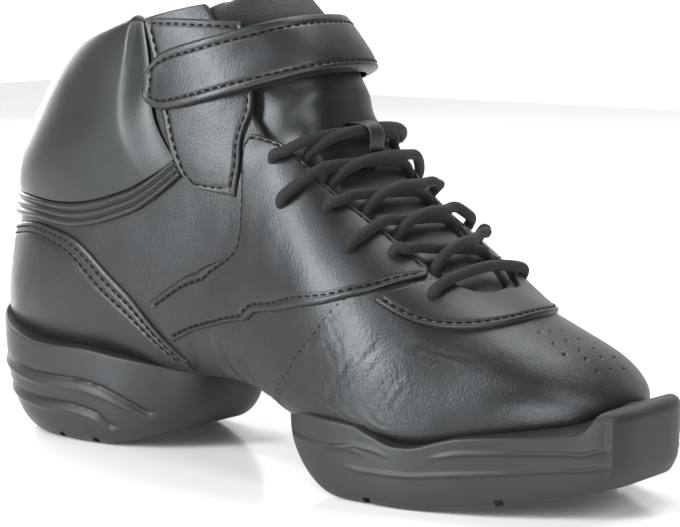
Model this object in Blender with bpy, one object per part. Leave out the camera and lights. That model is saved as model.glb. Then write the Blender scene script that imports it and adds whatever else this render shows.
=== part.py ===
# High-top dance sneaker with a split sole, right shoe, standing empty on its sole.
# +X points to the toe, +Y to the inner (left) side, +Z up. The origin is on the floor under the heel.
import bmesh
import bpy
import numpy as np

# Driving sizes, in metres
LAST_LENGTH = 0.2625       # upper, back of the heel to the tip of the toe
BALL_WIDTH = 0.094         # upper, across the ball of the foot
HEEL_STAND = 0.025         # height of the heel seat over the floor
UPPER_HEIGHT = 0.137       # heel seat to the top edge of the shaft
WALL = 0.0022              # upper leather with its lining
PANEL = 0.0012             # one leather overlay
PAD_RISE = 0.0046          # stuffing of the collar over its leather
TONGUE_THICK = 0.0042
TONGUE_RISE = 0.0028       # how far the tongue swells up between the throat edges
INSOLE_THICK = 0.0035
STRAP_THICK = 0.0026
STRAP_STAND = 0.0020       # strap over the last where it crosses the tongue
LACE_WIDTH = 0.004
EYELET_WIDTH = 0.0046
KEEPER_WIDTH = 0.0065
KEEPER_THICK = 0.0012
FIT = 0.0003               # gap between pieces that touch
TONGUE_GAP = 0.0009        # tongue under the throat edges
TOE_SPRING = 0.0105        # tip of the forefoot sole over the floor
BACK_LIFT = 0.013          # back end of the forefoot sole over the floor
HEEL_LIFT = 0.0065         # front end of the heel sole over the floor
RIB_RISE = 0.0009
GROOVE_DEPTH = 0.0012
RIB_WIDTH = 0.0022         # height of a rib or groove on the side of a pod
NOTCH_WIDTH = 0.0028
NOTCH_DEPTH = 0.0026

HEEL_REST = 0.17           # heel's resting point, share of LAST_LENGTH from the back
EYELET_SIDES = 6
LACE_SIDES = 5

# One row per section of the last, from the toe tip round the heel and up the shaft. A section runs
# from a point at the bottom or back to a point at the top or front. back_x and front_x are shares
# of LAST_LENGTH. The back point's height is lift * HEEL_STAND + rise * UPPER_HEIGHT, the front
# point's is HEEL_STAND + front_rise * UPPER_HEIGHT. shift, right and left are shares of BALL_WIDTH,
# widest is where the section is widest, low and high are the powers of its two curved halves.
SECTION_COLUMNS = ("back_x", "lift", "rise", "front_x", "front_rise", "shift",
                   "right", "left", "widest", "low", "high")
SECTIONS = np.array((
    (1.000, 1.44, 0.000, 1.000, 0.080, 0.011, 0.000, 0.000, 0.40, 2.4, 2.0),
    (0.990, 1.18, 0.000, 0.989, 0.118, 0.011, 0.162, 0.170, 0.40, 2.6, 2.0),
    (0.960, 1.02, 0.000, 0.952, 0.180, 0.011, 0.290, 0.288, 0.38, 2.8, 2.0),
    (0.907, 0.86, 0.000, 0.895, 0.234, 0.000, 0.388, 0.367, 0.34, 3.0, 2.0),
    (0.838, 0.68, 0.000, 0.823, 0.298, 0.000, 0.463, 0.426, 0.30, 3.2, 2.0),
    (0.762, 0.56, 0.000, 0.758, 0.367, 0.000, 0.511, 0.468, 0.28, 3.4, 2.4),
    (0.678, 0.56, 0.000, 0.690, 0.453, 0.000, 0.521, 0.468, 0.28, 3.4, 2.6),
    (0.587, 0.70, 0.000, 0.632, 0.533, 0.000, 0.489, 0.441, 0.30, 3.3, 2.9),
    (0.495, 1.02, 0.000, 0.594, 0.606, 0.000, 0.447, 0.415, 0.34, 3.2, 3.2),
    (0.396, 1.10, 0.000, 0.575, 0.664, 0.000, 0.415, 0.399, 0.40, 3.1, 3.3),
    (0.297, 1.04, 0.000, 0.566, 0.704, 0.000, 0.399, 0.394, 0.46, 3.1, 3.3),
    (0.175, 1.00, 0.000, 0.561, 0.737, 0.000, 0.394, 0.388, 0.52, 3.2, 3.0),
    (0.061, 1.00, 0.000, 0.558, 0.766, 0.000, 0.394, 0.388, 0.56, 3.0, 2.9),
    (-0.022, 1.00, 0.088, 0.556, 0.796, 0.000, 0.394, 0.388, 0.58, 2.7, 2.8),
    (-0.025, 1.00, 0.270, 0.548, 0.825, 0.000, 0.394, 0.388, 0.56, 2.4, 2.7),
    (-0.012, 1.00, 0.460, 0.538, 0.861, 0.000, 0.388, 0.383, 0.53, 2.3, 2.7),
    (0.027, 1.00, 0.620, 0.522, 0.905, 0.000, 0.372, 0.367, 0.52, 2.2, 2.6),
    (0.073, 1.00, 0.759, 0.497, 0.956, 0.000, 0.362, 0.362, 0.52, 2.2, 2.5),
    (0.108, 1.00, 0.861, 0.466, 1.011, 0.000, 0.351, 0.351, 0.52, 2.2, 2.4),
    (0.136, 1.00, 0.927, 0.442, 1.058, 0.000, 0.340, 0.340, 0.52, 2.2, 2.4)))

# A place on the last is a station, counted in rows of SECTIONS, and a turn round the section:
# 0 at the front or top, 1 at the back or bottom, minus on the right side and plus on the left.
RIM_STATION = 18.0
UPPER_STATIONS = (0, .35, .75, 1.2, 1.8, 2.4, 3, 3.7, 4.3, 4.6, 5.1, 5.7, 6.5, 7.2, 7.9, 8.6, 9.2,
                  9.8, 10.4, 11, 11.5, 12, 12.4, 12.8, 13.2, 13.7, 14.4, 15.1, 15.9, 16.6, 17.3,
                  RIM_STATION)
# Throat edge: station, turn
THROAT = np.array(((0, .10), (3.4, .09), (4.3, .055), (4.6, .090), (5.0, .100), (5.8, .098),
                   (6.5, .105), (7.3, .125), (8.2, .160), (9.3, .190), (10.4, .220), (12.0, .260),
                   (14.0, .275), (17.0, .290), (19.0, .310)))
# Edge of the openings under the foot: station, turn
LASTING = np.array(((0, .82), (2.4, .88), (4.3, .89), (6.5, .88), (8.6, .84), (10.4, .87),
                    (12.0, .84), (13.2, .84), (15.0, .84), (19.0, .84)))
BOTTOM_OPENINGS = ((2.4, 6.5), (9.8, 11.5))      # first and last station of each
INSOLE_EDGE = 0.80                               # turn of the insole's side edges
# Top edge of the shaft: turn, stations past RIM_STATION
RIM_SHAPE = np.array(((0, .35), (.40, .50), (.52, .42), (.62, .05), (.80, -.25), (1, -.30)))
EYELETS = ((10.2, .285), (8.5, .320), (7.35, .205), (6.45, .235), (5.8, .155), (4.85, .185))

# Overlays, seen from the side. Each row is one rung, from one long edge to the other. x is in
# hundredths of LAST_LENGTH, z in hundredths of UPPER_HEIGHT over the heel seat.
BAND = ((-1.6, 41.8, -1.4, 48.6), (4.6, 41.4, 4.6, 48.0), (12.2, 41.4, 12.2, 47.4),
        (21.4, 41.8, 20.6, 48.2), (28.2, 45.4, 27.4, 51.5), (33.6, 50.4, 32.4, 55.5),
        (37.6, 55.8, 36.2, 60.0))
PAD = ((-1.2, 49.2, 10.4, 84.5), (4.6, 48.6, 14.4, 87.0), (12.2, 48.0, 19.2, 89.4),
       (20.6, 48.8, 23.0, 91.6), (27.4, 52.1, 26.2, 93.4), (32.4, 56.1, 28.0, 94.6),
       (36.4, 60.6, 28.6, 95.2))
COUNTER = ((-2.3, 17.6, -2.0, 38.2), (3.0, 13.2, 3.8, 39.6), (8.4, 10.5, 10.6, 40.6),
           (14.5, 9.4, 17.5, 38.4), (21.0, 9.3, 22.9, 32.2), (26.3, 8.0, 28.2, 24.8),
           (31.2, 6.9, 32.0, 18.0), (35.0, 5.6, 35.1, 12.3), (37.1, 4.8, 37.4, 8.2))
FLAP = ((41.1, 54.4, 47.6, 52.6), (38.5, 57.3, 47.6, 57.0), (37.1, 60.6, 47.5, 62.0),
        (35.8, 66.4, 47.2, 68.6), (34.6, 73.7, 46.8, 75.6), (32.8, 84.7, 45.0, 84.7),
        (30.4, 97.0, 41.4, 96.4))
# Overlays given on the last. Each row is one rung: station and turn at one long edge, then the other
QUARTER = ((9.83, .653, 10.72, .565), (9.52, .605, 10.49, .525), (9.07, .562, 10.22, .503),
           (8.61, .521, 9.73, .490), (8.19, .499, 9.39, .459), (7.74, .481, 9.85, .415),
           (7.34, .452, 11.23, .345), (6.99, .421, 12.45, .300), (6.63, .387, 11.70, .262),
           (6.32, .353, 9.80, .213), (6.01, .313, 8.10, .163), (5.70, .267, 6.90, .120),
           (5.45, .215, 6.00, .106), (5.24, .165, 5.50, .105), (5.12, .130, 5.22, .106))
GUARD = ((3.40, .000, 4.22, .000), (3.44, .070, 4.22, .042), (3.58, .135, 4.36, .080),
         (3.85, .195, 4.68, .101), (4.25, .240, 4.96, .118), (4.70, .268, 5.10, .150),
         (5.20, .282, 5.32, .212), (5.62, .286, 5.58, .262))
# The ankle strap's lower and upper edge, from its free end on the right round the front
STRAP = ((15.95, -.468, 16.25, -.470), (15.50, -.462, 16.75, -.466), (15.20, -.455, 16.95, -.462),
         (14.95, -.410, 17.05, -.415), (14.70, -.330, 17.05, -.335), (14.50, -.240, 17.05, -.240),
         (14.30, -.120, 17.05, -.120), (14.20, .000, 17.05, .000), (14.30, .120, 17.05, .120),
         (14.60, .250, 17.05, .250), (14.90, .360, 17.00, .360), (15.10, .440, 16.95, .440))

# A pod of the split sole. Its rim runs round a centre: centre, behind and ahead are shares of
# LAST_LENGTH, the two powers square its ends. inset_* shrink the ground outline towards the
# centre, and drop_power rounds the side down to it. widths: place along LAST_LENGTH, then right
# and left as shares of BALL_WIDTH. rim: turn from the front (0) to the back (1), then the height
# as a share of HEEL_STAND. crest: the same for the middle line of its top. ribs: sign, then turn
# and level pairs, level 0 at the rim, 1 below.
HEEL_POD = {
    "centre": 0.175, "behind": 0.218, "ahead": 0.196, "behind_power": 2.3, "ahead_power": 2.9,
    "inset_behind": 0.62, "inset_ahead": 0.62, "inset_side": 0.76, "drop_power": 2.4,
    "widths": ((-.04, .41, .40), (.08, .420, .410), (.19, .418, .410), (.30, .400, .360),
               (.40, .372, .310)),
    "rim": ((0, 1.18), (.09, 1.19), (.24, 1.30), (.35, 1.39), (.47, 1.47), (.59, 1.46),
            (.70, 1.56), (.79, 1.68), (.86, 1.80), (1, 1.86)),
    "crest": ((0, 1.18), (.3, 1.35), (.7, 1.56), (1, 1.86)),
    "ribs": ((-1, ((.27, .60), (.35, .44), (.41, .36), (.49, .33), (.70, .32), (1, .34))),
             (1, ((.26, .70), (.34, .54), (.41, .45), (.49, .42), (.70, .41), (1, .43))),
             (-1, ((.38, .76), (.43, .64), (.53, .59), (.80, .58), (1, .58)))),
    "levels": (0, .14, .26, .34, .42, .50, .59, .68, .79, .90, .97, 1),
    "notches": (.140, .205),
}
FOREFOOT_POD = {
    "centre": 0.781, "behind": 0.238, "ahead": 0.252, "behind_power": 4.0, "ahead_power": 4.5,
    "inset_behind": 0.74, "inset_ahead": 0.95, "inset_side": 0.88, "drop_power": 3.4,
    "widths": ((.58, .500, .450), (.68, .545, .490), (.76, .540, .492), (.84, .498, .462),
               (.91, .440, .412), (.97, .372, .352), (1.04, .330, .320)),
    "rim": ((0, 1.44), (.09, 1.44), (.125, 1.40), (.17, 1.20), (.21, 1.13), (.32, 1.10),
            (.40, 1.05), (.43, .99), (.49, .86), (.51, .86), (.56, .97), (.60, 1.07),
            (.66, 1.09), (.74, 1.10), (.84, 1.08), (1, 1.04)),
    "crest": ((0, 1.44), (.27, 1.44), (.45, 1.00), (1, 1.04)),
    "ribs": ((1, ((.10, .50), (.17, .32), (.27, .26), (.40, .29), (.58, .28), (.76, .42))),
             (1, ((.10, .70), (.19, .57), (.30, .55), (.40, .58), (.46, .54), (.68, .66)))),
    "levels": (0, .16, .29, .38, .47, .57, .67, .78, .89, .96, 1),
    "notches": (.728, .905),
}
FLAT_FROM, FLAT_TO = 0.686, 0.785        # forefoot's flat, shares of LAST_LENGTH
HEEL_FLAT_TO = 0.210                     # front end of the heel's flat


def clear_scene():
    for old in list(bpy.data.objects):
        bpy.data.objects.remove(old, do_unlink=True)


def wrap_turn(turn):
    return (np.asarray(turn, float) + 1) % 2 - 1


class Curve:
    """Smooth curve through the rows of a table, by row number (natural cubic spline)."""

    def __init__(self, rows):
        self.rows = np.asarray(rows, float)
        count = len(self.rows)
        system = np.eye(count) * 4
        system[0, 0] = system[-1, -1] = 1
        bend = np.zeros_like(self.rows)
        for i in range(1, count - 1):
            system[i, i - 1] = system[i, i + 1] = 1
            bend[i] = 6 * (self.rows[i + 1] - 2 * self.rows[i] + self.rows[i - 1])
        self.bend = np.linalg.solve(system, bend)

    def at(self, number):
        number = np.asarray(number, float)
        i = np.clip(np.floor(number).astype(int), 0, len(self.rows) - 2)
        t = (number - i)[..., None]
        s = 1 - t
        return (self.rows[i] * s + self.rows[i + 1] * t
                + (s ** 3 - s) * self.bend[i] / 6 + (t ** 3 - t) * self.bend[i + 1] / 6)


def through(rows, column, at):
    """Value of a table's column at places of its first column, smooth and without overshoot."""
    rows = np.asarray(rows, float)
    x, y = rows[:, 0], rows[:, column]
    step = np.diff(x)
    rise = np.diff(y) / step
    slope = np.r_[rise[0], np.zeros(len(x) - 2), rise[-1]]
    same = rise[:-1] * rise[1:] > 0
    total = np.where(same, rise[:-1] + rise[1:], 1)
    slope[1:-1] = np.where(same, 2 * rise[:-1] * rise[1:] / total, 0)
    at = np.clip(np.asarray(at, float), x[0], x[-1])
    i = np.clip(np.searchsorted(x, at) - 1, 0, len(x) - 2)
    t = (at - x[i]) / step[i]
    return (y[i] * (1 + 2 * t) * (1 - t) ** 2 + y[i + 1] * t * t * (3 - 2 * t)
            + step[i] * (slope[i] * t * (1 - t) ** 2 - slope[i + 1] * t * t * (1 - t)))


def soft_step(value):
    value = np.clip(value, 0, 1)
    return value * value * (3 - 2 * value)


def section_rows():
    """SECTIONS in metres: back x, z, front x, z, shift, right, left, widest, low, high."""
    column = {name: SECTIONS[:, i] for i, name in enumerate(SECTION_COLUMNS)}
    rows = np.stack([column["back_x"] * LAST_LENGTH,
                     column["lift"] * HEEL_STAND + column["rise"] * UPPER_HEIGHT,
                     column["front_x"] * LAST_LENGTH,
                     HEEL_STAND + column["front_rise"] * UPPER_HEIGHT,
                     column["shift"] * BALL_WIDTH, column["right"] * BALL_WIDTH,
                     column["left"] * BALL_WIDTH,
                     column["widest"], column["low"], column["high"]], 1)
    rows[0, 1] = rows[0, 3] = (rows[0, 1] + rows[0, 3]) / 2
    # Two rows past the tip, turned over, close the toe smoothly
    beyond = rows[2:0:-1].copy()
    beyond[:, :4] = beyond[:, [2, 3, 0, 1]]
    beyond[:, 5:7] *= -1
    return np.vstack([beyond, rows])


LAST = Curve(section_rows())
TOP_STATION = len(SECTIONS) - 1


def last_row(station):
    return LAST.at(np.asarray(station, float) + 2)


def last_point(station, turn):
    """Point of the last: each half of a section is a rounded curve with its own power."""
    station, turn = np.broadcast_arrays(np.asarray(station, float), wrap_turn(turn))
    row = last_row(station)
    share = np.abs(turn)
    angle = np.pi * np.minimum(share, 1 - share)
    top = share <= 0.5
    widest = row[..., 7]
    power = 2 / np.where(top, row[..., 9], row[..., 8])
    across = np.clip(np.sin(angle), 0, 1) ** power
    along = np.clip(np.cos(angle), 0, 1) ** power
    height = np.where(top, widest + (1 - widest) * along, widest * (1 - along))
    half = np.where(turn > 0, row[..., 6], row[..., 5])
    return np.stack([row[..., 0] + (row[..., 2] - row[..., 0]) * height,
                     row[..., 4] + np.sign(turn) * half * across,
                     row[..., 1] + (row[..., 3] - row[..., 1]) * height], -1)


def last_normal(station, turn):
    """Outward normal, from small steps along and round the last."""
    station, turn = np.broadcast_arrays(np.asarray(station, float), np.asarray(turn, float))
    inner = np.clip(station, 0.06, TOP_STATION - 0.06)
    along = last_point(inner + 0.05, turn) - last_point(inner - 0.05, turn)
    around = last_point(inner, turn + 0.012) - last_point(inner, turn - 0.012)
    normal = np.cross(around, along)
    return normal / np.maximum(np.linalg.norm(normal, axis=-1, keepdims=True), 1e-12)


def last_offset(station, turn, offset):
    offset = np.broadcast_to(np.asarray(offset, float), np.broadcast(station, turn).shape)
    return last_point(station, turn) + last_normal(station, turn) * offset[..., None]


SCAN = np.linspace(0.3, TOP_STATION, 2401)
SCAN_ROWS = last_row(SCAN)


def place_from_side(x, z):
    """Station and turn of the point of the last that a side view shows at x, z."""
    x, z = np.asarray(x, float)[:, None], np.asarray(z, float)[:, None]
    back_x, back_z, front_x, front_z = (SCAN_ROWS[:, i] for i in range(4))
    run_x, run_z = front_x - back_x, front_z - back_z
    side = run_x * (z - back_z) - run_z * (x - back_x)
    share = ((x - back_x) * run_x + (z - back_z) * run_z) / np.maximum(run_x ** 2 + run_z ** 2, 1e-9)
    found = (side[:, :-1] * side[:, 1:] <= 0) & (np.abs(share[:, :-1] - 0.5) < 0.62)
    i = found.argmax(1)
    n = np.arange(len(i))
    gap = side[n, i] - side[n, i + 1]
    t = side[n, i] / np.where(np.abs(gap) > 1e-15, gap, 1)
    station = SCAN[i] + t * (SCAN[1] - SCAN[0])
    height = np.clip(share[n, i] * (1 - t) + share[n, i + 1] * t, 0, 1)
    row = last_row(station)
    widest, low, high = row[:, 7], row[:, 8], row[:, 9]
    top = height >= widest
    cosine = np.where(top, (height - widest) / (1 - widest), (widest - height) / widest)
    angle = np.arccos(np.clip(cosine, 0, 1) ** (np.where(top, high, low) / 2)) / np.pi
    return station, np.where(top, angle, 1 - angle)


def leather(name, colour, roughness):
    material = bpy.data.materials.new(name)
    material.use_nodes = True
    shader = material.node_tree.nodes["Principled BSDF"]
    shader.inputs["Base Color"].default_value = (*colour, 1)
    shader.inputs["Roughness"].default_value = roughness
    shader.inputs["Metallic"].default_value = 0
    return material


def add_object(name, points, faces, material):
    """Object from points in metres, moved so that the heel's resting point is the origin."""
    points = np.asarray(points, float) - (HEEL_REST * LAST_LENGTH, 0, 0)
    mesh = bpy.data.meshes.new(name)
    mesh.from_pydata([tuple(p) for p in points], [], faces)
    cleaner = bmesh.new()
    cleaner.from_mesh(mesh)
    bmesh.ops.remove_doubles(cleaner, verts=cleaner.verts, dist=2e-6)
    bmesh.ops.dissolve_degenerate(cleaner, edges=cleaner.edges, dist=1e-6)
    bmesh.ops.recalc_face_normals(cleaner, faces=cleaner.faces)
    if cleaner.calc_volume(signed=True) < 0:
        bmesh.ops.reverse_faces(cleaner, faces=cleaner.faces)
    cleaner.to_mesh(mesh)
    cleaner.free()
    made = bpy.data.objects.new(name, mesh)
    bpy.context.collection.objects.link(made)
    if material is None:
        made.hide_render = True
        made.display_type = "WIRE"
    else:
        mesh.materials.append(material)
        mesh.shade_smooth()
        mesh.set_sharp_from_angle(angle=0.6)
    return made


def cut(target, cutter, operation="DIFFERENCE"):
    step = target.modifiers.new(cutter.name, "BOOLEAN")
    step.operation = operation
    step.solver = "EXACT"
    step.object = cutter


def ladder(start, columns):
    """Faces that close a ring whose halves mirror each other, rung by rung."""
    faces = []
    for j in range(columns // 2):
        loop = (j, j + 1, (columns - j - 1) % columns, (columns - j) % columns)
        faces.append([start + k for n, k in enumerate(loop) if k not in loop[:n]])
    return faces


def halves(loop):
    """The two triangles of a grid cell, split the same way in every solid."""
    return [[loop[0], loop[1], loop[2]], [loop[0], loop[2], loop[3]]]


def grid_solid(name, outer, inner, material, keep=None, closed=False):
    """Solid between two grids of points. keep says which cells are there, closed joins the rows."""
    rows, columns = outer.shape[:2]
    cells = columns if closed else columns - 1
    keep = np.ones((rows - 1, cells), bool) if keep is None else keep
    count = rows * columns

    def corner(i, j):
        return i * columns + j % columns

    def kept(i, j):
        j = j % cells if closed else j
        return 0 <= i < rows - 1 and 0 <= j < cells and keep[i, j]

    faces = []
    for i in range(rows - 1):
        for j in range(cells):
            if not keep[i, j]:
                continue
            loop = [corner(i, j), corner(i + 1, j), corner(i + 1, j + 1), corner(i, j + 1)]
            faces += halves(loop)
            faces += [[count + k for k in reversed(half)] for half in halves(loop)]
            beyond = ((i, j - 1), (i + 1, j), (i, j + 1), (i - 1, j))
            for side in range(4):
                if not kept(*beyond[side]):
                    a, b = loop[side], loop[(side + 1) % 4]
                    faces.append([b, a, count + a, count + b])
    points = np.concatenate([outer.reshape(-1, 3), inner.reshape(-1, 3)])
    return add_object(name, points, faces, material)


def turns_round(station, inside=2, side=7, under=3):
    """Turns of one ring: from the front down the left side, round the bottom, up the right."""
    throat = through(THROAT, 1, station)
    lasting = through(LASTING, 1, station)
    half = np.concatenate([np.linspace(0, throat, inside + 1)[:-1],
                           np.linspace(throat, lasting, side + 1)[:-1],
                           np.linspace(lasting, 1, under + 1)])
    return np.concatenate([half, -half[-2:0:-1]])


def form_solid(name, offset, top=RIM_STATION):
    """Closed form of the upper, grown by offset, to cut other pieces with."""
    stations = np.array([s for s in UPPER_STATIONS if s <= top])
    turn = np.array([turns_round(s) for s in stations])
    ring = last_offset(stations[:, None] + 0 * turn, turn, offset)
    ring[0] = ring[0].mean(0)
    rows, columns = turn.shape
    faces = []
    for i in range(rows - 1):
        for j in range(columns):
            faces += halves([i * columns + j, (i + 1) * columns + j,
                             (i + 1) * columns + (j + 1) % columns, i * columns + (j + 1) % columns])
    return add_object(name, ring.reshape(-1, 3), faces + ladder((rows - 1) * columns, columns), None)


def make_upper(material):
    """Shell of the last with its wall, open at the shaft, the throat and under the sole."""
    stations = np.array(UPPER_STATIONS, float)
    turn = np.array([turns_round(s) for s in stations])
    shape = through(RIM_SHAPE, 1, np.abs(turn))
    place = stations[:, None] + shape * soft_step((stations[:, None] - 16) / 2)
    outer = last_offset(place, turn, 0.0)
    inner = last_offset(place, turn, -WALL)
    outer[0], inner[0] = outer[0].mean(0), inner[0].mean(0)
    middle = (stations[1:] + stations[:-1]) / 2
    cells = turn.shape[1]
    keep = np.ones((len(stations) - 1, cells), bool)
    centre = np.abs(wrap_turn((turn[0] + np.roll(turn[0], -1)) / 2))
    centre[cells // 2 - 1:cells // 2 + 1] = 1
    throat_cell = np.zeros(cells, bool)
    throat_cell[[0, 1, -1, -2]] = True
    bottom_cell = np.zeros(cells, bool)
    bottom_cell[cells // 2 - 3:cells // 2 + 3] = True
    for i, s in enumerate(middle):
        if s > THROAT[2, 0]:
            keep[i, throat_cell] = False
        if any(first < s < last for first, last in BOTTOM_OPENINGS):
            keep[i, bottom_cell] = False
    return grid_solid("upper", outer, inner, material, keep, closed=True)


def eyelet_cutter():
    """Round pegs across the wall at each lace hole."""
    points, faces = [], []
    ring = np.linspace(0, 2 * np.pi, EYELET_SIDES, endpoint=False)
    for side in (-1, 1):
        for station, turn in EYELETS:
            middle = last_point(station, side * turn)
            normal = last_normal(station, side * turn)
            across = np.cross(normal, (0, 0, 1))
            across /= np.linalg.norm(across)
            up = np.cross(normal, across)
            circle = (np.cos(ring)[:, None] * across + np.sin(ring)[:, None] * up) * EYELET_WIDTH / 2
            start = len(points) * EYELET_SIDES
            points.append(middle + circle - normal * (WALL + PANEL))
            points.append(middle + circle + normal * (WALL + PANEL))
            faces += [[start + k, start + (k + 1) % EYELET_SIDES,
                       start + EYELET_SIDES + (k + 1) % EYELET_SIDES,
                       start + EYELET_SIDES + k] for k in range(EYELET_SIDES)]
            faces.append(list(range(start, start + EYELET_SIDES)))
            faces.append(list(range(start + EYELET_SIDES, start + 2 * EYELET_SIDES)))
    return add_object("eyelet_pegs", np.concatenate(points), faces, None)


def side_rungs(rows):
    """Rungs given in the side view, as stations and turns."""
    rows = np.asarray(rows, float)
    low = place_from_side(rows[:, 0] / 100 * LAST_LENGTH, HEEL_STAND + rows[:, 1] / 100 * UPPER_HEIGHT)
    high = place_from_side(rows[:, 2] / 100 * LAST_LENGTH, HEEL_STAND + rows[:, 3] / 100 * UPPER_HEIGHT)
    return np.stack([low[0], low[1], high[0], high[1]], 1)


def mirror_rungs(rungs, centre):
    """Rungs that cross the middle: their turns are counted from centre, the first row's place."""
    rungs = rungs.copy()
    rungs[:, [1, 3]] -= centre
    rungs[0, [1, 3]] = 0
    other = rungs[:0:-1].copy()
    other[:, [1, 3]] *= -1
    both = np.vstack([other, rungs])
    both[:, [1, 3]] += centre
    return both


def panel(name, rungs, material, side=1, base=FIT, thick=PANEL, crown=0.0, arch=0.0, long=24, wide=5):
    """Overlay along its rungs, laid on the upper. crown swells it between its edges and arch
    lifts its middle off the upper."""
    fine = Curve(rungs).at(np.linspace(0, len(rungs) - 1, 20 * len(rungs)))
    middle = last_point((fine[:, 0] + fine[:, 2]) / 2, (fine[:, 1] + fine[:, 3]) / 2)
    walked = np.r_[0, np.cumsum(np.linalg.norm(np.diff(middle, axis=0), axis=1))]
    even = np.interp(np.linspace(0, walked[-1], long + 1), walked, np.arange(len(fine)))
    table = Curve(rungs).at(even * (len(rungs) - 1) / (len(fine) - 1))
    across = np.linspace(0, 1, wide + 1)
    station = table[:, :1] * (1 - across) + table[:, 2:3] * across
    turn = (table[:, 1:2] * (1 - across) + table[:, 3:4] * across) * side
    end = np.linspace(0, 1, long + 1)[:, None]
    swell = (4 * across * (1 - across)) ** 0.6 * soft_step(end / 0.16) * soft_step((1 - end) / 0.16)
    base = base + arch * soft_step(2 * (1 - np.abs(2 * end - 1)))
    outer = last_offset(station, turn, base + thick + crown * swell)
    inner = last_offset(station, turn, base)
    return grid_solid(name, outer, inner, material)


def make_tongue(material):
    """Padded tongue under the throat edges, swelling up between them, past the top of the shaft."""
    stations = np.r_[np.linspace(4.05, 17.8, 16), 18.4, 18.9]
    throat = through(THROAT, 1, stations)
    narrow = 1 - 0.45 * soft_step((stations - 17.6) / 1.3) ** 2
    shares = np.array((-1.28, -1, -.65, 0, .65, 1, 1.28))
    turn = throat[:, None] * shares * narrow[:, None]
    rise = soft_step((1 - np.abs(shares)) / 0.35) * soft_step((stations[:, None] - 4.6) / 1.2)
    under = WALL + TONGUE_GAP
    place = stations[:, None] + 0.35 * (1 - shares ** 2).clip(0) * soft_step((stations[:, None] - 17) / 2)
    outer = last_offset(place, turn, -under + TONGUE_RISE * rise)
    inner = last_offset(place, turn, -under - TONGUE_THICK + 0.6 * TONGUE_RISE * rise)
    return grid_solid("tongue", outer, inner, material)


def make_insole(material):
    """Foot bed laid on the inside of the upper, over the openings in its bottom."""
    stations = np.linspace(0.9, 12.4, 16)[:, None]
    turn = np.linspace(INSOLE_EDGE, 2 - INSOLE_EDGE, 7) + 0 * stations
    seat = WALL + 3 * FIT
    return grid_solid("insole", last_offset(stations, turn, -seat),
                      last_offset(stations, turn, -seat - INSOLE_THICK), material)


def pod_outline(pod, turn, sign):
    """x, y and rim height of a pod's rim at turns from its front, on one side."""
    share = np.cos(np.pi * turn)
    power = np.where(share > 0, pod["ahead_power"], pod["behind_power"])
    reach = np.where(share > 0, pod["ahead"], pod["behind"]) * LAST_LENGTH
    x = pod["centre"] * LAST_LENGTH + reach * share
    width = through(pod["widths"], 1 if sign < 0 else 2, x / LAST_LENGTH) * BALL_WIDTH
    y = sign * width * np.clip(1 - np.abs(share) ** power, 0, 1) ** (1 / power)
    return x, y, through(pod["rim"], 1, turn) * HEEL_STAND


def floor_height(x):
    """Height of the sole's underside: flat under heel and ball, rising towards the toe and the arch."""
    first, last = FLAT_FROM * LAST_LENGTH, FLAT_TO * LAST_LENGTH
    tip = (FOREFOOT_POD["centre"] + FOREFOOT_POD["ahead"] * FOREFOOT_POD["inset_ahead"]) * LAST_LENGTH
    tail = (FOREFOOT_POD["centre"] - FOREFOOT_POD["behind"] * FOREFOOT_POD["inset_behind"]) * LAST_LENGTH
    front = TOE_SPRING * np.clip((x - last) / (tip - last), 0, 1) ** 1.4
    back = BACK_LIFT * np.clip((first - x) / (first - tail), 0, 1) ** 1.7
    rest = HEEL_FLAT_TO * LAST_LENGTH
    edge = (HEEL_POD["centre"] + HEEL_POD["ahead"] * HEEL_POD["inset_ahead"]) * LAST_LENGTH
    heel = HEEL_LIFT * np.clip((x - rest) / (edge - rest), 0, 1) ** 1.5
    return np.where(x > FOREFOOT_POD["centre"] * LAST_LENGTH / 2, front + back, heel)


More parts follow.
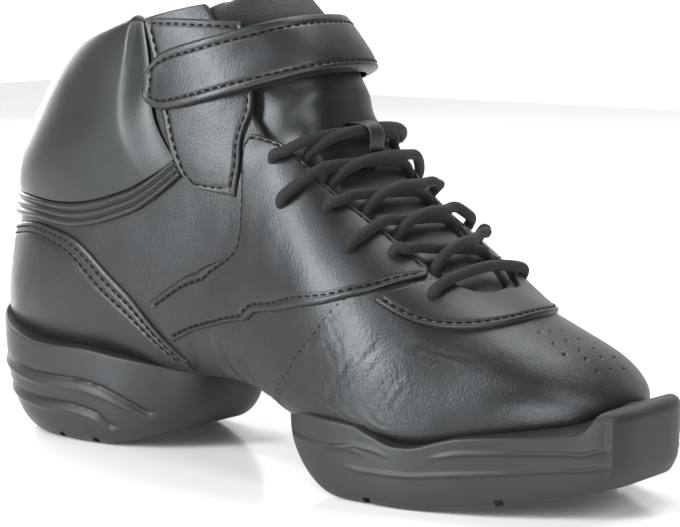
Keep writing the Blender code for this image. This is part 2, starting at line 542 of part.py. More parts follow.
def make_pod(name, pod, material, form):
    """Moulded pod: rings from the rim down to the ground outline, cut out by the upper's form."""
    steps = 20
    turn = np.linspace(0, 1, steps)
    rings = []
    sides = [pod_outline(pod, turn, sign) for sign in (-1, 1)]
    levels = np.array(pod["levels"])[:, None]
    drop = (1 - levels ** pod["drop_power"]) ** (1 / pod["drop_power"])
    for sign, (x, y, rim) in zip((-1, 1), sides):
        middle = pod["centre"] * LAST_LENGTH
        inset = np.where(x > middle, pod["inset_ahead"], pod["inset_behind"])
        low_x = middle + (x - middle) * inset
        low_y = y * pod["inset_side"]
        ground = floor_height(low_x)
        height = rim - ground
        ripple = np.zeros((len(levels), steps))
        for direction, line in pod["ribs"]:
            at = through(line, 1, turn)
            fade = soft_step((turn - line[0][0] + 0.04) / 0.05) * soft_step((line[-1][0] + 0.08 - turn) / 0.08)
            size = RIB_RISE if direction > 0 else -GROOVE_DEPTH
            ripple += size * fade * np.exp(-((levels - at) * height / (RIB_WIDTH * 0.6)) ** 2)
        ring_x = low_x + (x - low_x) * drop
        ring_y = low_y + (y - low_y) * drop
        out_x = np.abs(np.gradient(y)) * np.where(x > middle, 1, -1)
        out_y = np.abs(np.gradient(x)) * sign
        length = np.maximum(np.hypot(out_x, out_y), 1e-9)
        rings.append(np.stack([ring_x + ripple * out_x / length, ring_y + ripple * out_y / length,
                               rim - height * levels], -1))
    right, left = rings
    rings = np.concatenate([right, left[:, -2:0:-1]], 1)
    rows, columns = rings.shape[:2]
    faces = [[i * columns + j, (i + 1) * columns + j, (i + 1) * columns + (j + 1) % columns,
              i * columns + (j + 1) % columns] for i in range(rows - 1) for j in range(columns)]
    # The top is closed over a middle line, which runs level from the toe bumper into the upper
    crest = rings[0, :steps] * (1, 0, 0)
    crest[:, 2] = through(pod["crest"], 1, turn) * HEEL_STAND
    first = rows * columns
    for j in range(steps - 1):
        faces.append([j, j + 1, first + j + 1, first + j])
        faces.append([(columns - j - 1) % columns, (columns - j) % columns, first + j, first + j + 1])
    faces += ladder((rows - 1) * columns, columns)
    made = add_object(name, np.concatenate([rings.reshape(-1, 3), crest]), faces, material)
    cut(made, notch_cutter(name, pod))
    cut(made, form)
    return made


def notch_cutter(name, pod):
    """Bars across the underside that cut the tread notches."""
    points, faces = [], []
    for place in pod["notches"]:
        x = place * LAST_LENGTH
        low, high = -0.01, float(floor_height(np.array(x))) + NOTCH_DEPTH
        near, far = x - NOTCH_WIDTH / 2, x + NOTCH_WIDTH / 2
        start = len(points)
        points += [(px, py, pz) for px in (near, far) for py in (-BALL_WIDTH, BALL_WIDTH)
                   for pz in (low, high)]
        faces += [[start + k for k in loop] for loop in
                  ((0, 1, 3, 2), (4, 6, 7, 5), (0, 4, 5, 1), (2, 3, 7, 6), (0, 2, 6, 4), (1, 5, 7, 3))]
    return add_object(name + "_notches", points, faces, None)


def tube(points, width, sides):
    """Points and faces of a round cord along points, with flat ends."""
    ahead = np.gradient(points, axis=0)
    ahead /= np.linalg.norm(ahead, axis=1, keepdims=True)
    across = np.cross(ahead, (0.15, 0, 1))
    across /= np.linalg.norm(across, axis=1, keepdims=True)
    up = np.cross(across, ahead)
    ring = np.linspace(0, 2 * np.pi, sides, endpoint=False)
    rings = (points[:, None] + width / 2 * (np.cos(ring)[None, :, None] * across[:, None]
                                           + np.sin(ring)[None, :, None] * up[:, None]))
    count = len(points)
    faces = [[i * sides + k, i * sides + (k + 1) % sides, (i + 1) * sides + (k + 1) % sides,
              (i + 1) * sides + k] for i in range(count - 1) for k in range(sides)]
    faces += [list(range(sides)), list(range((count - 1) * sides, count * sides))]
    return rings.reshape(-1, 3), faces


def lace_strand(start, end, steps=6):
    """Cord on the last's surface between two places, clear of the overlays."""
    share = np.linspace(0, 1, steps)
    station = start[0] + (end[0] - start[0]) * share
    turn = start[1] + (end[1] - start[1]) * share
    return last_offset(station, turn, 5 * FIT + PANEL + LACE_WIDTH / 2)


def make_laces(material):
    """Crossings between the two rows of eyelets and a bar at the lowest pair, joined."""
    right = [(station, -turn) for station, turn in EYELETS]
    left = [(station, turn) for station, turn in EYELETS]
    strands = [lace_strand(right[-1], left[-1])]
    for k in range(1, len(EYELETS)):
        strands.append(lace_strand(right[k], left[k - 1]))
        strands.append(lace_strand(left[k], right[k - 1]))
    base = None
    for k, strand in enumerate(strands):
        points, faces = tube(strand, LACE_WIDTH, LACE_SIDES)
        if base is None:
            base = add_object("laces", points, faces, material)
        else:
            cut(base, add_object("lace_strand_%d" % k, points, faces, None), "UNION")
    return base


def make_keeper(material):
    """Leather loop down the middle of the tongue that the top crossing passes through."""
    stations = np.linspace(8.4, 10.7, 13)
    share = np.linspace(0, 1, len(stations))
    seat = TONGUE_RISE - WALL - TONGUE_GAP
    over = 7 * FIT + PANEL + LACE_WIDTH - seat
    height = seat + FIT + over * np.minimum(1, np.sin(np.pi * share) * 1.5)
    lines = []
    for lift in (KEEPER_THICK, 0):
        middle = last_offset(stations, 0 * stations, height + lift)
        half = np.array((0, KEEPER_WIDTH / 2, 0))
        lines.append(np.stack([middle - half, middle + half], 1))
    return grid_solid("lace_keeper", lines[0], lines[1], material)


def build():
    clear_scene()
    black = leather("upper_leather", (0.020, 0.020, 0.022), 0.42)
    trim = leather("trim_leather", (0.024, 0.024, 0.026), 0.38)
    cloth = leather("lining_cloth", (0.012, 0.012, 0.013), 0.9)
    rubber = leather("sole_rubber", (0.045, 0.046, 0.050), 0.55)
    cord = leather("lace_cord", (0.012, 0.012, 0.013), 0.75)
    board = leather("insole_board", (0.030, 0.030, 0.032), 0.8)
    form = form_solid("upper_form", FIT)
    pegs = eyelet_cutter()
    cut(make_upper(black), pegs)
    make_pod("heel_sole", HEEL_POD, rubber, form)
    make_pod("forefoot_sole", FOREFOOT_POD, rubber, form)
    make_tongue(cloth)
    make_insole(board)
    panel("collar_band", mirror_rungs(side_rungs(BAND), 1), trim, long=32, wide=1)
    panel("collar_pad", mirror_rungs(side_rungs(PAD), 1), trim, base=2 * FIT, crown=PAD_RISE,
          long=30, wide=5)
    panel("heel_counter", mirror_rungs(side_rungs(COUNTER), 1), trim, base=2 * FIT, long=34, wide=4)
    guard = panel("throat_guard", mirror_rungs(np.array(GUARD), 0), trim, base=2 * FIT, long=22, wide=2)
    cut(guard, pegs)
    for side, word in ((-1, "right"), (1, "left")):
        cut(panel("quarter_" + word, np.array(QUARTER), trim, side, base=2 * FIT,
                  long=18, wide=4), pegs)
        panel("ankle_flap_" + word, side_rungs(FLAP), trim, side, long=8, wide=3)
    seat = 2 * FIT + PANEL
    panel("ankle_strap", np.array(STRAP), trim, base=seat, thick=STRAP_THICK,
          arch=STRAP_STAND - seat, long=24, wide=2)
    make_laces(cord)
    make_keeper(trim)


build()
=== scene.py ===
import bmesh
import bpy
import numpy as np
from math import radians
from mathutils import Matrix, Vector


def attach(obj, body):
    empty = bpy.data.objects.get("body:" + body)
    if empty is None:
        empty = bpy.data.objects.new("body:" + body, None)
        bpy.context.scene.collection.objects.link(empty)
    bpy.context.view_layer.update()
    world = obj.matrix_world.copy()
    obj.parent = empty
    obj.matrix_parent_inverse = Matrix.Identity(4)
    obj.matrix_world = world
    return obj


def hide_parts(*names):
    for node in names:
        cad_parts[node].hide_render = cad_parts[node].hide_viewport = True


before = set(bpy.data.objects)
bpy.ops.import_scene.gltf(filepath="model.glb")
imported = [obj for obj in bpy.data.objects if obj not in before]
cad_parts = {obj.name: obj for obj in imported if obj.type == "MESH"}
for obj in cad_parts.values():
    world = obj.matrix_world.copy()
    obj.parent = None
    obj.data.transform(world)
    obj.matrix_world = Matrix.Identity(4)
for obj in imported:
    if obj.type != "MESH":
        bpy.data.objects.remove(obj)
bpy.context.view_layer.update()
print("frame loaded")

mm = 0.001
coolShine = (0.88, 0.96, 1.0, 1.0)  # tint of the reflections on leather and rubber
rng = np.random.default_rng(7)

# The last: the same form as the solids, in metres, read by station (row of the table) and turn
# (0 at the front or top, 1 at the back or bottom, minus on the outer side)
last = {"length": 0.2625, "ball": 0.094, "stand": 0.025, "height": 0.137, "heelRest": 0.17,
        "wall": 2.2 * mm, "topStation": 19.0, "rim": 18.0}

# back x, lift, rise, front x, front rise, shift, outer half, inner half, widest, low power, high power
sections = np.array((
    (1.000, 1.44, 0.000, 1.000, 0.080, 0.011, 0.000, 0.000, 0.40, 2.4, 2.0),
    (0.990, 1.18, 0.000, 0.989, 0.118, 0.011, 0.162, 0.170, 0.40, 2.6, 2.0),
    (0.960, 1.02, 0.000, 0.952, 0.180, 0.011, 0.290, 0.288, 0.38, 2.8, 2.0),
    (0.907, 0.86, 0.000, 0.895, 0.234, 0.000, 0.388, 0.367, 0.34, 3.0, 2.0),
    (0.838, 0.68, 0.000, 0.823, 0.298, 0.000, 0.463, 0.426, 0.30, 3.2, 2.0),
    (0.762, 0.56, 0.000, 0.758, 0.367, 0.000, 0.511, 0.468, 0.28, 3.4, 2.4),
    (0.678, 0.56, 0.000, 0.690, 0.453, 0.000, 0.521, 0.468, 0.28, 3.4, 2.6),
    (0.587, 0.70, 0.000, 0.632, 0.533, 0.000, 0.489, 0.441, 0.30, 3.3, 2.9),
    (0.495, 1.02, 0.000, 0.594, 0.606, 0.000, 0.447, 0.415, 0.34, 3.2, 3.2),
    (0.396, 1.10, 0.000, 0.575, 0.664, 0.000, 0.415, 0.399, 0.40, 3.1, 3.3),
    (0.297, 1.04, 0.000, 0.566, 0.704, 0.000, 0.399, 0.394, 0.46, 3.1, 3.3),
    (0.175, 1.00, 0.000, 0.561, 0.737, 0.000, 0.394, 0.388, 0.52, 3.2, 3.0),
    (0.061, 1.00, 0.000, 0.558, 0.766, 0.000, 0.394, 0.388, 0.56, 3.0, 2.9),
    (-0.022, 1.00, 0.088, 0.556, 0.796, 0.000, 0.394, 0.388, 0.58, 2.7, 2.8),
    (-0.025, 1.00, 0.270, 0.548, 0.825, 0.000, 0.394, 0.388, 0.56, 2.4, 2.7),
    (-0.012, 1.00, 0.460, 0.538, 0.861, 0.000, 0.388, 0.383, 0.53, 2.3, 2.7),
    (0.027, 1.00, 0.620, 0.522, 0.905, 0.000, 0.372, 0.367, 0.52, 2.2, 2.6),
    (0.073, 1.00, 0.759, 0.497, 0.956, 0.000, 0.362, 0.362, 0.52, 2.2, 2.5),
    (0.108, 1.00, 0.861, 0.466, 1.011, 0.000, 0.351, 0.351, 0.52, 2.2, 2.4),
    (0.136, 1.00, 0.927, 0.442, 1.058, 0.000, 0.340, 0.340, 0.52, 2.2, 2.4)))

throatEdge = np.array(((0, .10), (3.4, .09), (4.3, .055), (4.6, .090), (5.0, .100), (5.8, .098),
                       (6.5, .105), (7.3, .125), (8.2, .160), (9.3, .190), (10.4, .220), (12.0, .260),
                       (14.0, .275), (17.0, .290), (19.0, .310)))
rimShape = np.array(((0, .35), (.40, .50), (.52, .42), (.62, .05), (.80, -.25), (1, -.30)))
eyelets = np.array(((10.2, .285), (8.5, .320), (7.35, .205), (6.45, .235), (5.8, .155), (4.85, .185)))


# Natural cubic spline through the rows, row n at parameter n
def splineOf(rows):
    rows = np.asarray(rows, float)
    count = len(rows)
    system = np.eye(count) * 4
    system[0, 0] = system[-1, -1] = 1
    bend = np.zeros_like(rows)
    for i in range(1, count - 1):
        system[i, i - 1] = system[i, i + 1] = 1
        bend[i] = 6 * (rows[i + 1] - 2 * rows[i] + rows[i - 1])
    bend = np.linalg.solve(system, bend)

    def at(number):
        number = np.asarray(number, float)
        i = np.clip(np.floor(number).astype(int), 0, count - 2)
        t = (number - i)[..., None]
        s = 1 - t
        return (rows[i] * s + rows[i + 1] * t + (s ** 3 - s) * bend[i] / 6
                + (t ** 3 - t) * bend[i + 1] / 6)
    return at


# Smooth reading of a table's column without overshoot: cubic with harmonic mean slopes
def readTable(rows, column, at):
    rows = np.asarray(rows, float)
    x, y = rows[:, 0], rows[:, column]
    step = np.diff(x)
    rise = np.diff(y) / step
    slope = np.r_[rise[0], np.zeros(len(x) - 2), rise[-1]]
    same = rise[:-1] * rise[1:] > 0
    slope[1:-1] = np.where(same, 2 * rise[:-1] * rise[1:] / np.where(same, rise[:-1] + rise[1:], 1), 0)
    at = np.clip(np.asarray(at, float), x[0], x[-1])
    i = np.clip(np.searchsorted(x, at) - 1, 0, len(x) - 2)
    t = (at - x[i]) / step[i]
    return (y[i] * (1 + 2 * t) * (1 - t) ** 2 + y[i + 1] * t * t * (3 - 2 * t)
            + step[i] * (slope[i] * t * (1 - t) ** 2 - slope[i + 1] * t * t * (1 - t)))


def unit(vectors):  # each vector over its own length
    return vectors / np.linalg.norm(vectors, axis=-1, keepdims=True)


def walkedAlong(line):  # sum of the steps between a line's places, at each place
    return np.r_[0, np.cumsum(np.linalg.norm(np.diff(line, axis=0), axis=1))]


def softStep(value):  # 3v^2 - 2v^3 between 0 and 1
    value = np.clip(value, 0, 1)
    return value * value * (3 - 2 * value)


def lastTable():  # the sections in metres, with two turned rows past the tip that close the toe
    t = sections
    rows = np.stack([t[:, 0] * last["length"], t[:, 1] * last["stand"] + t[:, 2] * last["height"],
                     t[:, 3] * last["length"], last["stand"] + t[:, 4] * last["height"],
                     t[:, 5] * last["ball"], t[:, 6] * last["ball"], t[:, 7] * last["ball"],
                     t[:, 8], t[:, 9], t[:, 10]], 1)
    rows[0, 1] = rows[0, 3] = (rows[0, 1] + rows[0, 3]) / 2
    beyond = rows[2:0:-1].copy()
    beyond[:, :4] = beyond[:, [2, 3, 0, 1]]
    beyond[:, 5:7] *= -1
    return np.vstack([beyond, rows])


lastCurve = splineOf(lastTable())


def wrapTurn(turn):  # any turn brought between -1 and 1
    return (np.asarray(turn, float) + 1) % 2 - 1


# A point of the last: back point + (front - back) * height, and the half width across, where each
# half of the section is a curve |cos|^(2/power), |sin|^(2/power)
def lastPoint(station, turn):
    station, turn = np.broadcast_arrays(np.asarray(station, float), wrapTurn(turn))
    row = lastCurve(station + 2)
    share = np.abs(turn)
    angle = np.pi * np.minimum(share, 1 - share)
    top = share <= 0.5
    widest = row[..., 7]
    power = 2 / np.where(top, row[..., 9], row[..., 8])
    across = np.clip(np.sin(angle), 0, 1) ** power
    along = np.clip(np.cos(angle), 0, 1) ** power
    height = np.where(top, widest + (1 - widest) * along, widest * (1 - along))
    half = np.where(turn > 0, row[..., 6], row[..., 5])
    return np.stack([row[..., 0] + (row[..., 2] - row[..., 0]) * height - last["heelRest"] * last["length"],
                     row[..., 4] + np.sign(turn) * half * across,
                     row[..., 1] + (row[..., 3] - row[..., 1]) * height], -1)


def lastNormal(station, turn):  # cross product of small steps round and along
    station, turn = np.broadcast_arrays(np.asarray(station, float), np.asarray(turn, float))
    inner = np.clip(station, 0.06, last["topStation"] - 0.06)
    along = lastPoint(inner + 0.05, turn) - lastPoint(inner - 0.05, turn)
    around = lastPoint(inner, turn + 0.012) - lastPoint(inner, turn - 0.012)
    normal = np.cross(around, along)
    return normal / np.maximum(np.linalg.norm(normal, axis=-1, keepdims=True), 1e-12)


scan = np.linspace(0.3, last["topStation"], 2401)
scanRows = lastCurve(scan + 2)


def placeFromSide(x, z):  # station and turn where a side view shows the point x, z
    x, z = np.asarray(x, float)[:, None], np.asarray(z, float)[:, None]
    backX, backZ, frontX, frontZ = (scanRows[:, i] for i in range(4))
    runX, runZ = frontX - backX, frontZ - backZ
    side = runX * (z - backZ) - runZ * (x - backX)
    share = ((x - backX) * runX + (z - backZ) * runZ) / np.maximum(runX ** 2 + runZ ** 2, 1e-9)
    found = (side[:, :-1] * side[:, 1:] <= 0) & (np.abs(share[:, :-1] - 0.5) < 0.62)
    i = found.argmax(1)
    n = np.arange(len(i))
    gap = side[n, i] - side[n, i + 1]
    t = side[n, i] / np.where(np.abs(gap) > 1e-15, gap, 1)
    station = scan[i] + t * (scan[1] - scan[0])
    height = np.clip(share[n, i] * (1 - t) + share[n, i + 1] * t, 0, 1)
    row = lastCurve(station + 2)
    widest, low, high = row[:, 7], row[:, 8], row[:, 9]
    top = height >= widest
    cosine = np.where(top, (height - widest) / (1 - widest), (widest - height) / widest)
    angle = np.arccos(np.clip(cosine, 0, 1) ** (np.where(top, high, low) / 2)) / np.pi
    return station, np.where(top, angle, 1 - angle)


# Smooth lumps from -1 to 1: hashed numbers on a lattice of the given size, blended by soft steps
def lumps(points, size, seed):
    q = points / size + seed * 7.31
    i = np.floor(q)
    f = q - i
    f = f * f * (3 - 2 * f)
    total = 0
    for a in (0, 1):
        for b in (0, 1):
            for c in (0, 1):
                key = np.sin((i[..., 0] + a) * 12.9898 + (i[..., 1] + b) * 78.233 + (i[..., 2] + c) * 37.719)
                value = np.modf(np.abs(key) * 43758.5453)[0]
                weight = ((f[..., 0] if a else 1 - f[..., 0]) * (f[..., 1] if b else 1 - f[..., 1])
                          * (f[..., 2] if c else 1 - f[..., 2]))
                total = total + value * weight
    return total * 2 - 1


# Creases of the leather. Each line: side (-1 outer, 1 inner, 0 both), depth and width in mm, then
# its places by station and turn. Lumps: height and size in mm.
creases = {
    "lumps": ((.16, 11), (.05, 4)),
    "lines": (
        (0, .55, 1.5, ((9.35, .600), (9.36, .641), (9.36, .716), (9.34, .794))),
        (-1, .75, 1.9, ((8.95, .560), (8.85, .597), (8.63, .660), (8.45, .740), (8.35, .830))),
        (-1, .40, 1.2, ((8.72, .560), (8.64, .575), (8.50, .607), (8.35, .650))),
        (-1, .50, 1.6, ((8.30, .590), (8.21, .617), (8.02, .692), (7.95, .800))),
        (-1, .30, 1.2, ((7.80, .620), (7.72, .700), (7.70, .790))),
        (-1, .32, .8, ((5.62, .395), (5.76, .425), (5.93, .465), (6.12, .493), (6.30, .520))),
        (-1, .26, .7, ((6.46, .485), (6.26, .463), (6.08, .443))),
        (-1, .36, .8, ((6.22, .501), (5.92, .483), (5.69, .456), (5.40, .398), (5.29, .373))),
        (-1, .22, .7, ((5.81, .500), (5.68, .482), (5.44, .450), (5.24, .412))),
        (-1, .30, .7, ((5.40, .505), (5.29, .485), (5.11, .452), (4.96, .415))),
        (-1, .34, .7, ((5.21, .506), (5.11, .482), (4.97, .451), (4.81, .410))),
        (-1, .24, .7, ((5.05, .506), (4.92, .481), (4.74, .442))),
        (-1, .26, .8, ((6.43, .458), (6.20, .427), (5.93, .396))),
        (-1, .50, 1.1, ((4.62, .330), (4.50, .321), (4.15, .312), (3.74, .295))),
        (-1, .36, .9, ((4.80, .345), (4.50, .341), (4.20, .335), (3.95, .328))),
        (-1, .26, .9, ((4.40, .300), (4.15, .292), (3.90, .280))),
        (1, .60, 1.8, ((8.95, .560), (8.80, .610), (8.60, .690), (8.50, .800))),
        (1, .45, 1.5, ((8.35, .570), (8.15, .640), (8.00, .740), (7.95, .830))),
        (1, .40, 1.1, ((6.20, .500), (5.90, .460), (5.60, .400), (5.40, .350))),
        (1, .35, 1.0, ((5.60, .510), (5.35, .460), (5.10, .390))),
        (1, .45, 1.2, ((4.70, .350), (4.40, .330), (3.95, .300)))),
    "fine": {"count": 70, "depth": (.10, .20), "width": (.42, .62), "length": (5, 11),
             "stations": (4.75, 6.55), "turns": (.40, .52), "lean": (.33, .22), "bow": .006},
    "seams": ((0, .55, .55, ((5.98, .315), (6.12, .347), (6.29, .387), (6.48, .431), (6.73, .473),
                             (6.95, .498), (7.11, .531), (7.26, .600), (7.36, .680), (7.40, .800))),),
    "holes": {"depth": 1.0, "width": .50, "places": (
        (3.10, -.080), (3.00, -.045), (2.92, .000), (2.74, -.100), (2.66, -.045), (2.60, .010),
        (2.42, -.130), (2.30, -.060), (2.22, .015), (2.05, -.085), (1.93, -.005), (1.88, .085),
        (1.66, -.110), (1.55, -.020), (1.50, .090))},
}


# Each crease as (points on the last, depth, width, fades at its ends); the fine ones are short bowed
# lines with random place, lean and length over the outer and inner flex
def creaseLines():
    made = []
    for group, fades in (("lines", True), ("seams", False)):
        for side, depth, width, places in creases[group]:
            curve = splineOf(places)(np.linspace(0, len(places) - 1, 30))
            for sign in ((-1, 1) if side == 0 else (side,)):
                made.append((lastPoint(curve[:, 0], sign * curve[:, 1]), depth * mm, width * mm, fades))
    fine = creases["fine"]
    for n in range(fine["count"]):
        sign = -1 if n % 3 else 1
        station = rng.uniform(*fine["stations"])
        turn = rng.uniform(*fine["turns"])
        lean = rng.normal(*fine["lean"])
        reach = rng.uniform(*fine["length"]) * mm
        t = np.linspace(-.5, .5, 12)
        bow = rng.normal(0, fine["bow"])
        places = (station - t * reach / .027 * np.sin(lean + .6), turn + t * reach / .16 * np.cos(lean + .6)
                  + bow * (4 * t * t - 1))
        made.append((lastPoint(places[0], sign * places[1]), rng.uniform(*fine["depth"]) * mm,
                     rng.uniform(*fine["width"]) * mm, True))
    return made


foldLines = creaseLines()
holePoints = np.array([lastPoint(s, t) for s, t in creases["holes"]["places"]])


# Height of the leather's relief: for each line -depth * exp(-(d/w)^2) with lips beside it, dents at
# the holes, and two sizes of soft lumps
def relief(points, holes=True):
    flat = points.reshape(-1, 3)
    (slow, slowSize), (quick, quickSize) = creases["lumps"]
    height = (slow * lumps(flat, slowSize * mm, 1) + quick * lumps(flat, quickSize * mm, 2)) * mm
    for line, depth, width, fades in foldLines:
        reach = 3.5 * width
        near = np.flatnonzero(np.all((flat > line.min(0) - reach) & (flat < line.max(0) + reach), 1))
        if not len(near):
            continue
        gap = np.linalg.norm(flat[near][:, None] - line[None], axis=2)
        closest = gap.argmin(1)
        gap = gap.min(1)
        fade = np.sin(np.pi * (closest + 0.5) / len(line)) ** 0.6 if fades else 1.0
        height[near] += depth * fade * (0.42 * np.exp(-((gap - 2.0 * width) / width) ** 2)
                                        - np.exp(-(gap / width) ** 2))
    if holes:
        width = creases["holes"]["width"] * mm
        for centre in holePoints:
            near = np.flatnonzero(np.all(np.abs(flat - centre) < 5 * width, 1))
            if len(near):
                gap = np.linalg.norm(flat[near] - centre, axis=1)
                height[near] -= creases["holes"]["depth"] * mm * np.exp(-(gap / width) ** 4)
    return height.reshape(points.shape[:-1])


# A place on the leather, raised by an offset: last + normal * (relief + offset)
def onLeather(station, turn, offset, holes=True):
    points = lastPoint(station, turn)
    offset = np.broadcast_to(offset, points.shape[:-1])
    return points + lastNormal(station, turn) * (relief(points, holes) + offset)[..., None]


# A mesh from an array of places and one of quads, smooth, with a UV map where one is given
def newMesh(name, points, quads, uv=None):
    mesh = bpy.data.meshes.new(name)
    mesh.vertices.add(len(points))
    mesh.vertices.foreach_set("co", np.ascontiguousarray(points, np.float32).ravel())
    mesh.loops.add(quads.size)
    mesh.loops.foreach_set("vertex_index", np.ascontiguousarray(quads, np.int32).ravel())
    mesh.polygons.add(len(quads))
    mesh.polygons.foreach_set("loop_start", np.arange(0, quads.size, 4, dtype=np.int32))
    mesh.polygons.foreach_set("use_smooth", np.ones(len(quads), bool))
    mesh.update(calc_edges=True)
    if uv is not None:
        layer = mesh.uv_layers.new(name="surface")
        layer.data.foreach_set("uv", np.ascontiguousarray(uv[quads.ravel()], np.float32).ravel())
    return mesh


# Quads of a grid of rows and columns, joined round its columns where closed
def gridQuads(rows, columns, closed=False, start=0):
    i, j = np.meshgrid(np.arange(rows - 1), np.arange(columns if closed else columns - 1), indexing="ij")
    k = (j + 1) % columns
    return start + np.stack([i * columns + j, (i + 1) * columns + j, (i + 1) * columns + k,
                             i * columns + k], -1).reshape(-1, 4)


def gridUv(grid):  # metres walked along and across the middle lines, times 100
    u, v = np.meshgrid(walkedAlong(grid[:, grid.shape[1] // 2]), walkedAlong(grid[grid.shape[0] // 2]),
                       indexing="ij")
    return np.stack([u, v], -1).reshape(-1, 2) * 100


def gridMesh(name, grid, closed=False):  # the mesh of a grid of places, with its UV map
    return newMesh(name, grid.reshape(-1, 3), gridQuads(*grid.shape[:2], closed=closed), gridUv(grid))


# The mesh as a piece of the shoe: doubles within weld merged, faces turned round where flip says
def addPiece(name, mesh, materials, replaced=(), weld=0.0, flip=False):
    for material in materials if isinstance(materials, (list, tuple)) else [materials]:
        mesh.materials.append(material)
    if weld or flip:
        edit = bmesh.new()
        edit.from_mesh(mesh)
        if weld:
            bmesh.ops.remove_doubles(edit, verts=edit.verts, dist=weld)
            bmesh.ops.dissolve_degenerate(edit, edges=edit.edges, dist=weld)
        if flip:
            bmesh.ops.reverse_faces(edit, faces=edit.faces)
        edit.to_mesh(mesh)
        edit.free()
    piece = bpy.data.objects.new(name, mesh)
    bpy.context.collection.objects.link(piece)
    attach(piece, "root")
    for node in replaced:
        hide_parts(node)
    return piece


# Whether a grid's faces look along the given normals
def looksOut(grid, normals):
    i, j = grid.shape[0] // 2, grid.shape[1] // 3
    face = np.cross(grid[i + 1, j] - grid[i, j], grid[i, j + 1] - grid[i, j])
    return float(np.dot(face, normals[i, j])) > 0


def groupOf(name, inputs, outputs):
    group = bpy.data.node_groups.new(name, "ShaderNodeTree")
    for kind, title, value in inputs:
        socket = group.interface.new_socket(title, in_out="INPUT", socket_type="NodeSocket" + kind)
        if value is not None:
            socket.default_value = value
    for kind, title in outputs:
        group.interface.new_socket(title, in_out="OUTPUT", socket_type="NodeSocket" + kind)
    return group, group.nodes.new("NodeGroupInput"), group.nodes.new("NodeGroupOutput")


def mathNode(tree, operation, a, b=None, clamp=False):
    node = tree.nodes.new("ShaderNodeMath")
    node.operation = operation
    node.use_clamp = clamp
    for k, value in enumerate((a, b)):
        if value is None:
            continue
        if isinstance(value, (int, float)):
            node.inputs[k].default_value = value
        else:
            tree.links.new(value, node.inputs[k])
    return node.outputs[0]


def mixColour(tree, factor, a, b):
    node = tree.nodes.new("ShaderNodeMix")
    node.data_type = "RGBA"
    for socket, value in ((node.inputs[0], factor), (node.inputs[6], a), (node.inputs[7], b)):
        if isinstance(value, (tuple, float)):
            socket.default_value = value
        else:
            tree.links.new(value, socket)
    return node.outputs[2]


def noiseNode(tree, vector, scale, detail=2.0, rough=0.5):
    node = tree.nodes.new("ShaderNodeTexNoise")
    tree.links.new(vector, node.inputs["Vector"])
    if isinstance(scale, (int, float)):
        node.inputs["Scale"].default_value = scale
    else:
        tree.links.new(scale, node.inputs["Scale"])
    node.inputs["Detail"].default_value = detail
    node.inputs["Roughness"].default_value = rough
    return node.outputs["Fac"]


# Leather grain: small cells with soft valleys, finer pores, and a slow cloudiness
def grainGroup():
    group, given, out = groupOf("leatherGrain", (("Vector", "Vector", None), ("Float", "Scale", 900.0)),
                                (("Float", "Height"), ("Float", "Cloud"), ("Float", "Pores")))
    cells = group.nodes.new("ShaderNodeTexVoronoi")
    cells.feature = "SMOOTH_F1"
    cells.inputs["Smoothness"].default_value = 0.35
    group.links.new(given.outputs["Vector"], cells.inputs["Vector"])
    group.links.new(given.outputs["Scale"], cells.inputs["Scale"])
    finer = mathNode(group, "MULTIPLY", given.outputs["Scale"], 2.6)
    fine = noiseNode(group, given.outputs["Vector"], finer, 3.0, .6)
    cloud = noiseNode(group, given.outputs["Vector"], 38.0, 4.0, .6)
    height = mathNode(group, "SUBTRACT", mathNode(group, "MULTIPLY", fine, 0.6),
                      mathNode(group, "MULTIPLY", cells.outputs["Distance"], 0.7))
    group.links.new(height, out.inputs["Height"])
    group.links.new(cloud, out.inputs["Cloud"])
    group.links.new(fine, out.inputs["Pores"])
    return group


# Cloth fuzz: fine noise beside a slow cloudiness
def fuzzGroup():
    group, given, out = groupOf("clothFuzz", (("Vector", "Vector", None), ("Float", "Scale", 2000.0)),
                                (("Float", "Fuzz"), ("Float", "Cloud")))
    fuzz = noiseNode(group, given.outputs["Vector"], given.outputs["Scale"], 5.0, .7)
    cloud = noiseNode(group, given.outputs["Vector"], 60.0, 3.0, .5)
    group.links.new(fuzz, out.inputs["Fuzz"])
    group.links.new(cloud, out.inputs["Cloud"])
    return group


grain, clothFuzz = grainGroup(), fuzzGroup()


def startMaterial(name):  # a new material with its shader and its coordinates
    material = bpy.data.materials.new(name)
    material.use_nodes = True
    tree = material.node_tree
    shader = tree.nodes["Principled BSDF"]
    place = tree.nodes.new("ShaderNodeTexCoord")
    return material, tree, shader, place


def useGroup(tree, group, vector, **values):
    node = tree.nodes.new("ShaderNodeGroup")
    node.node_tree = group
    tree.links.new(vector, node.inputs["Vector"])
    for title, value in values.items():
        node.inputs[title].default_value = value
    return node


def bumpTo(tree, shader, height, strength, distance):
    bump = tree.nodes.new("ShaderNodeBump")
    bump.inputs["Strength"].default_value = strength
    bump.inputs["Distance"].default_value = distance
    tree.links.new(height, bump.inputs["Height"])
    tree.links.new(bump.outputs["Normal"], shader.inputs["Normal"])


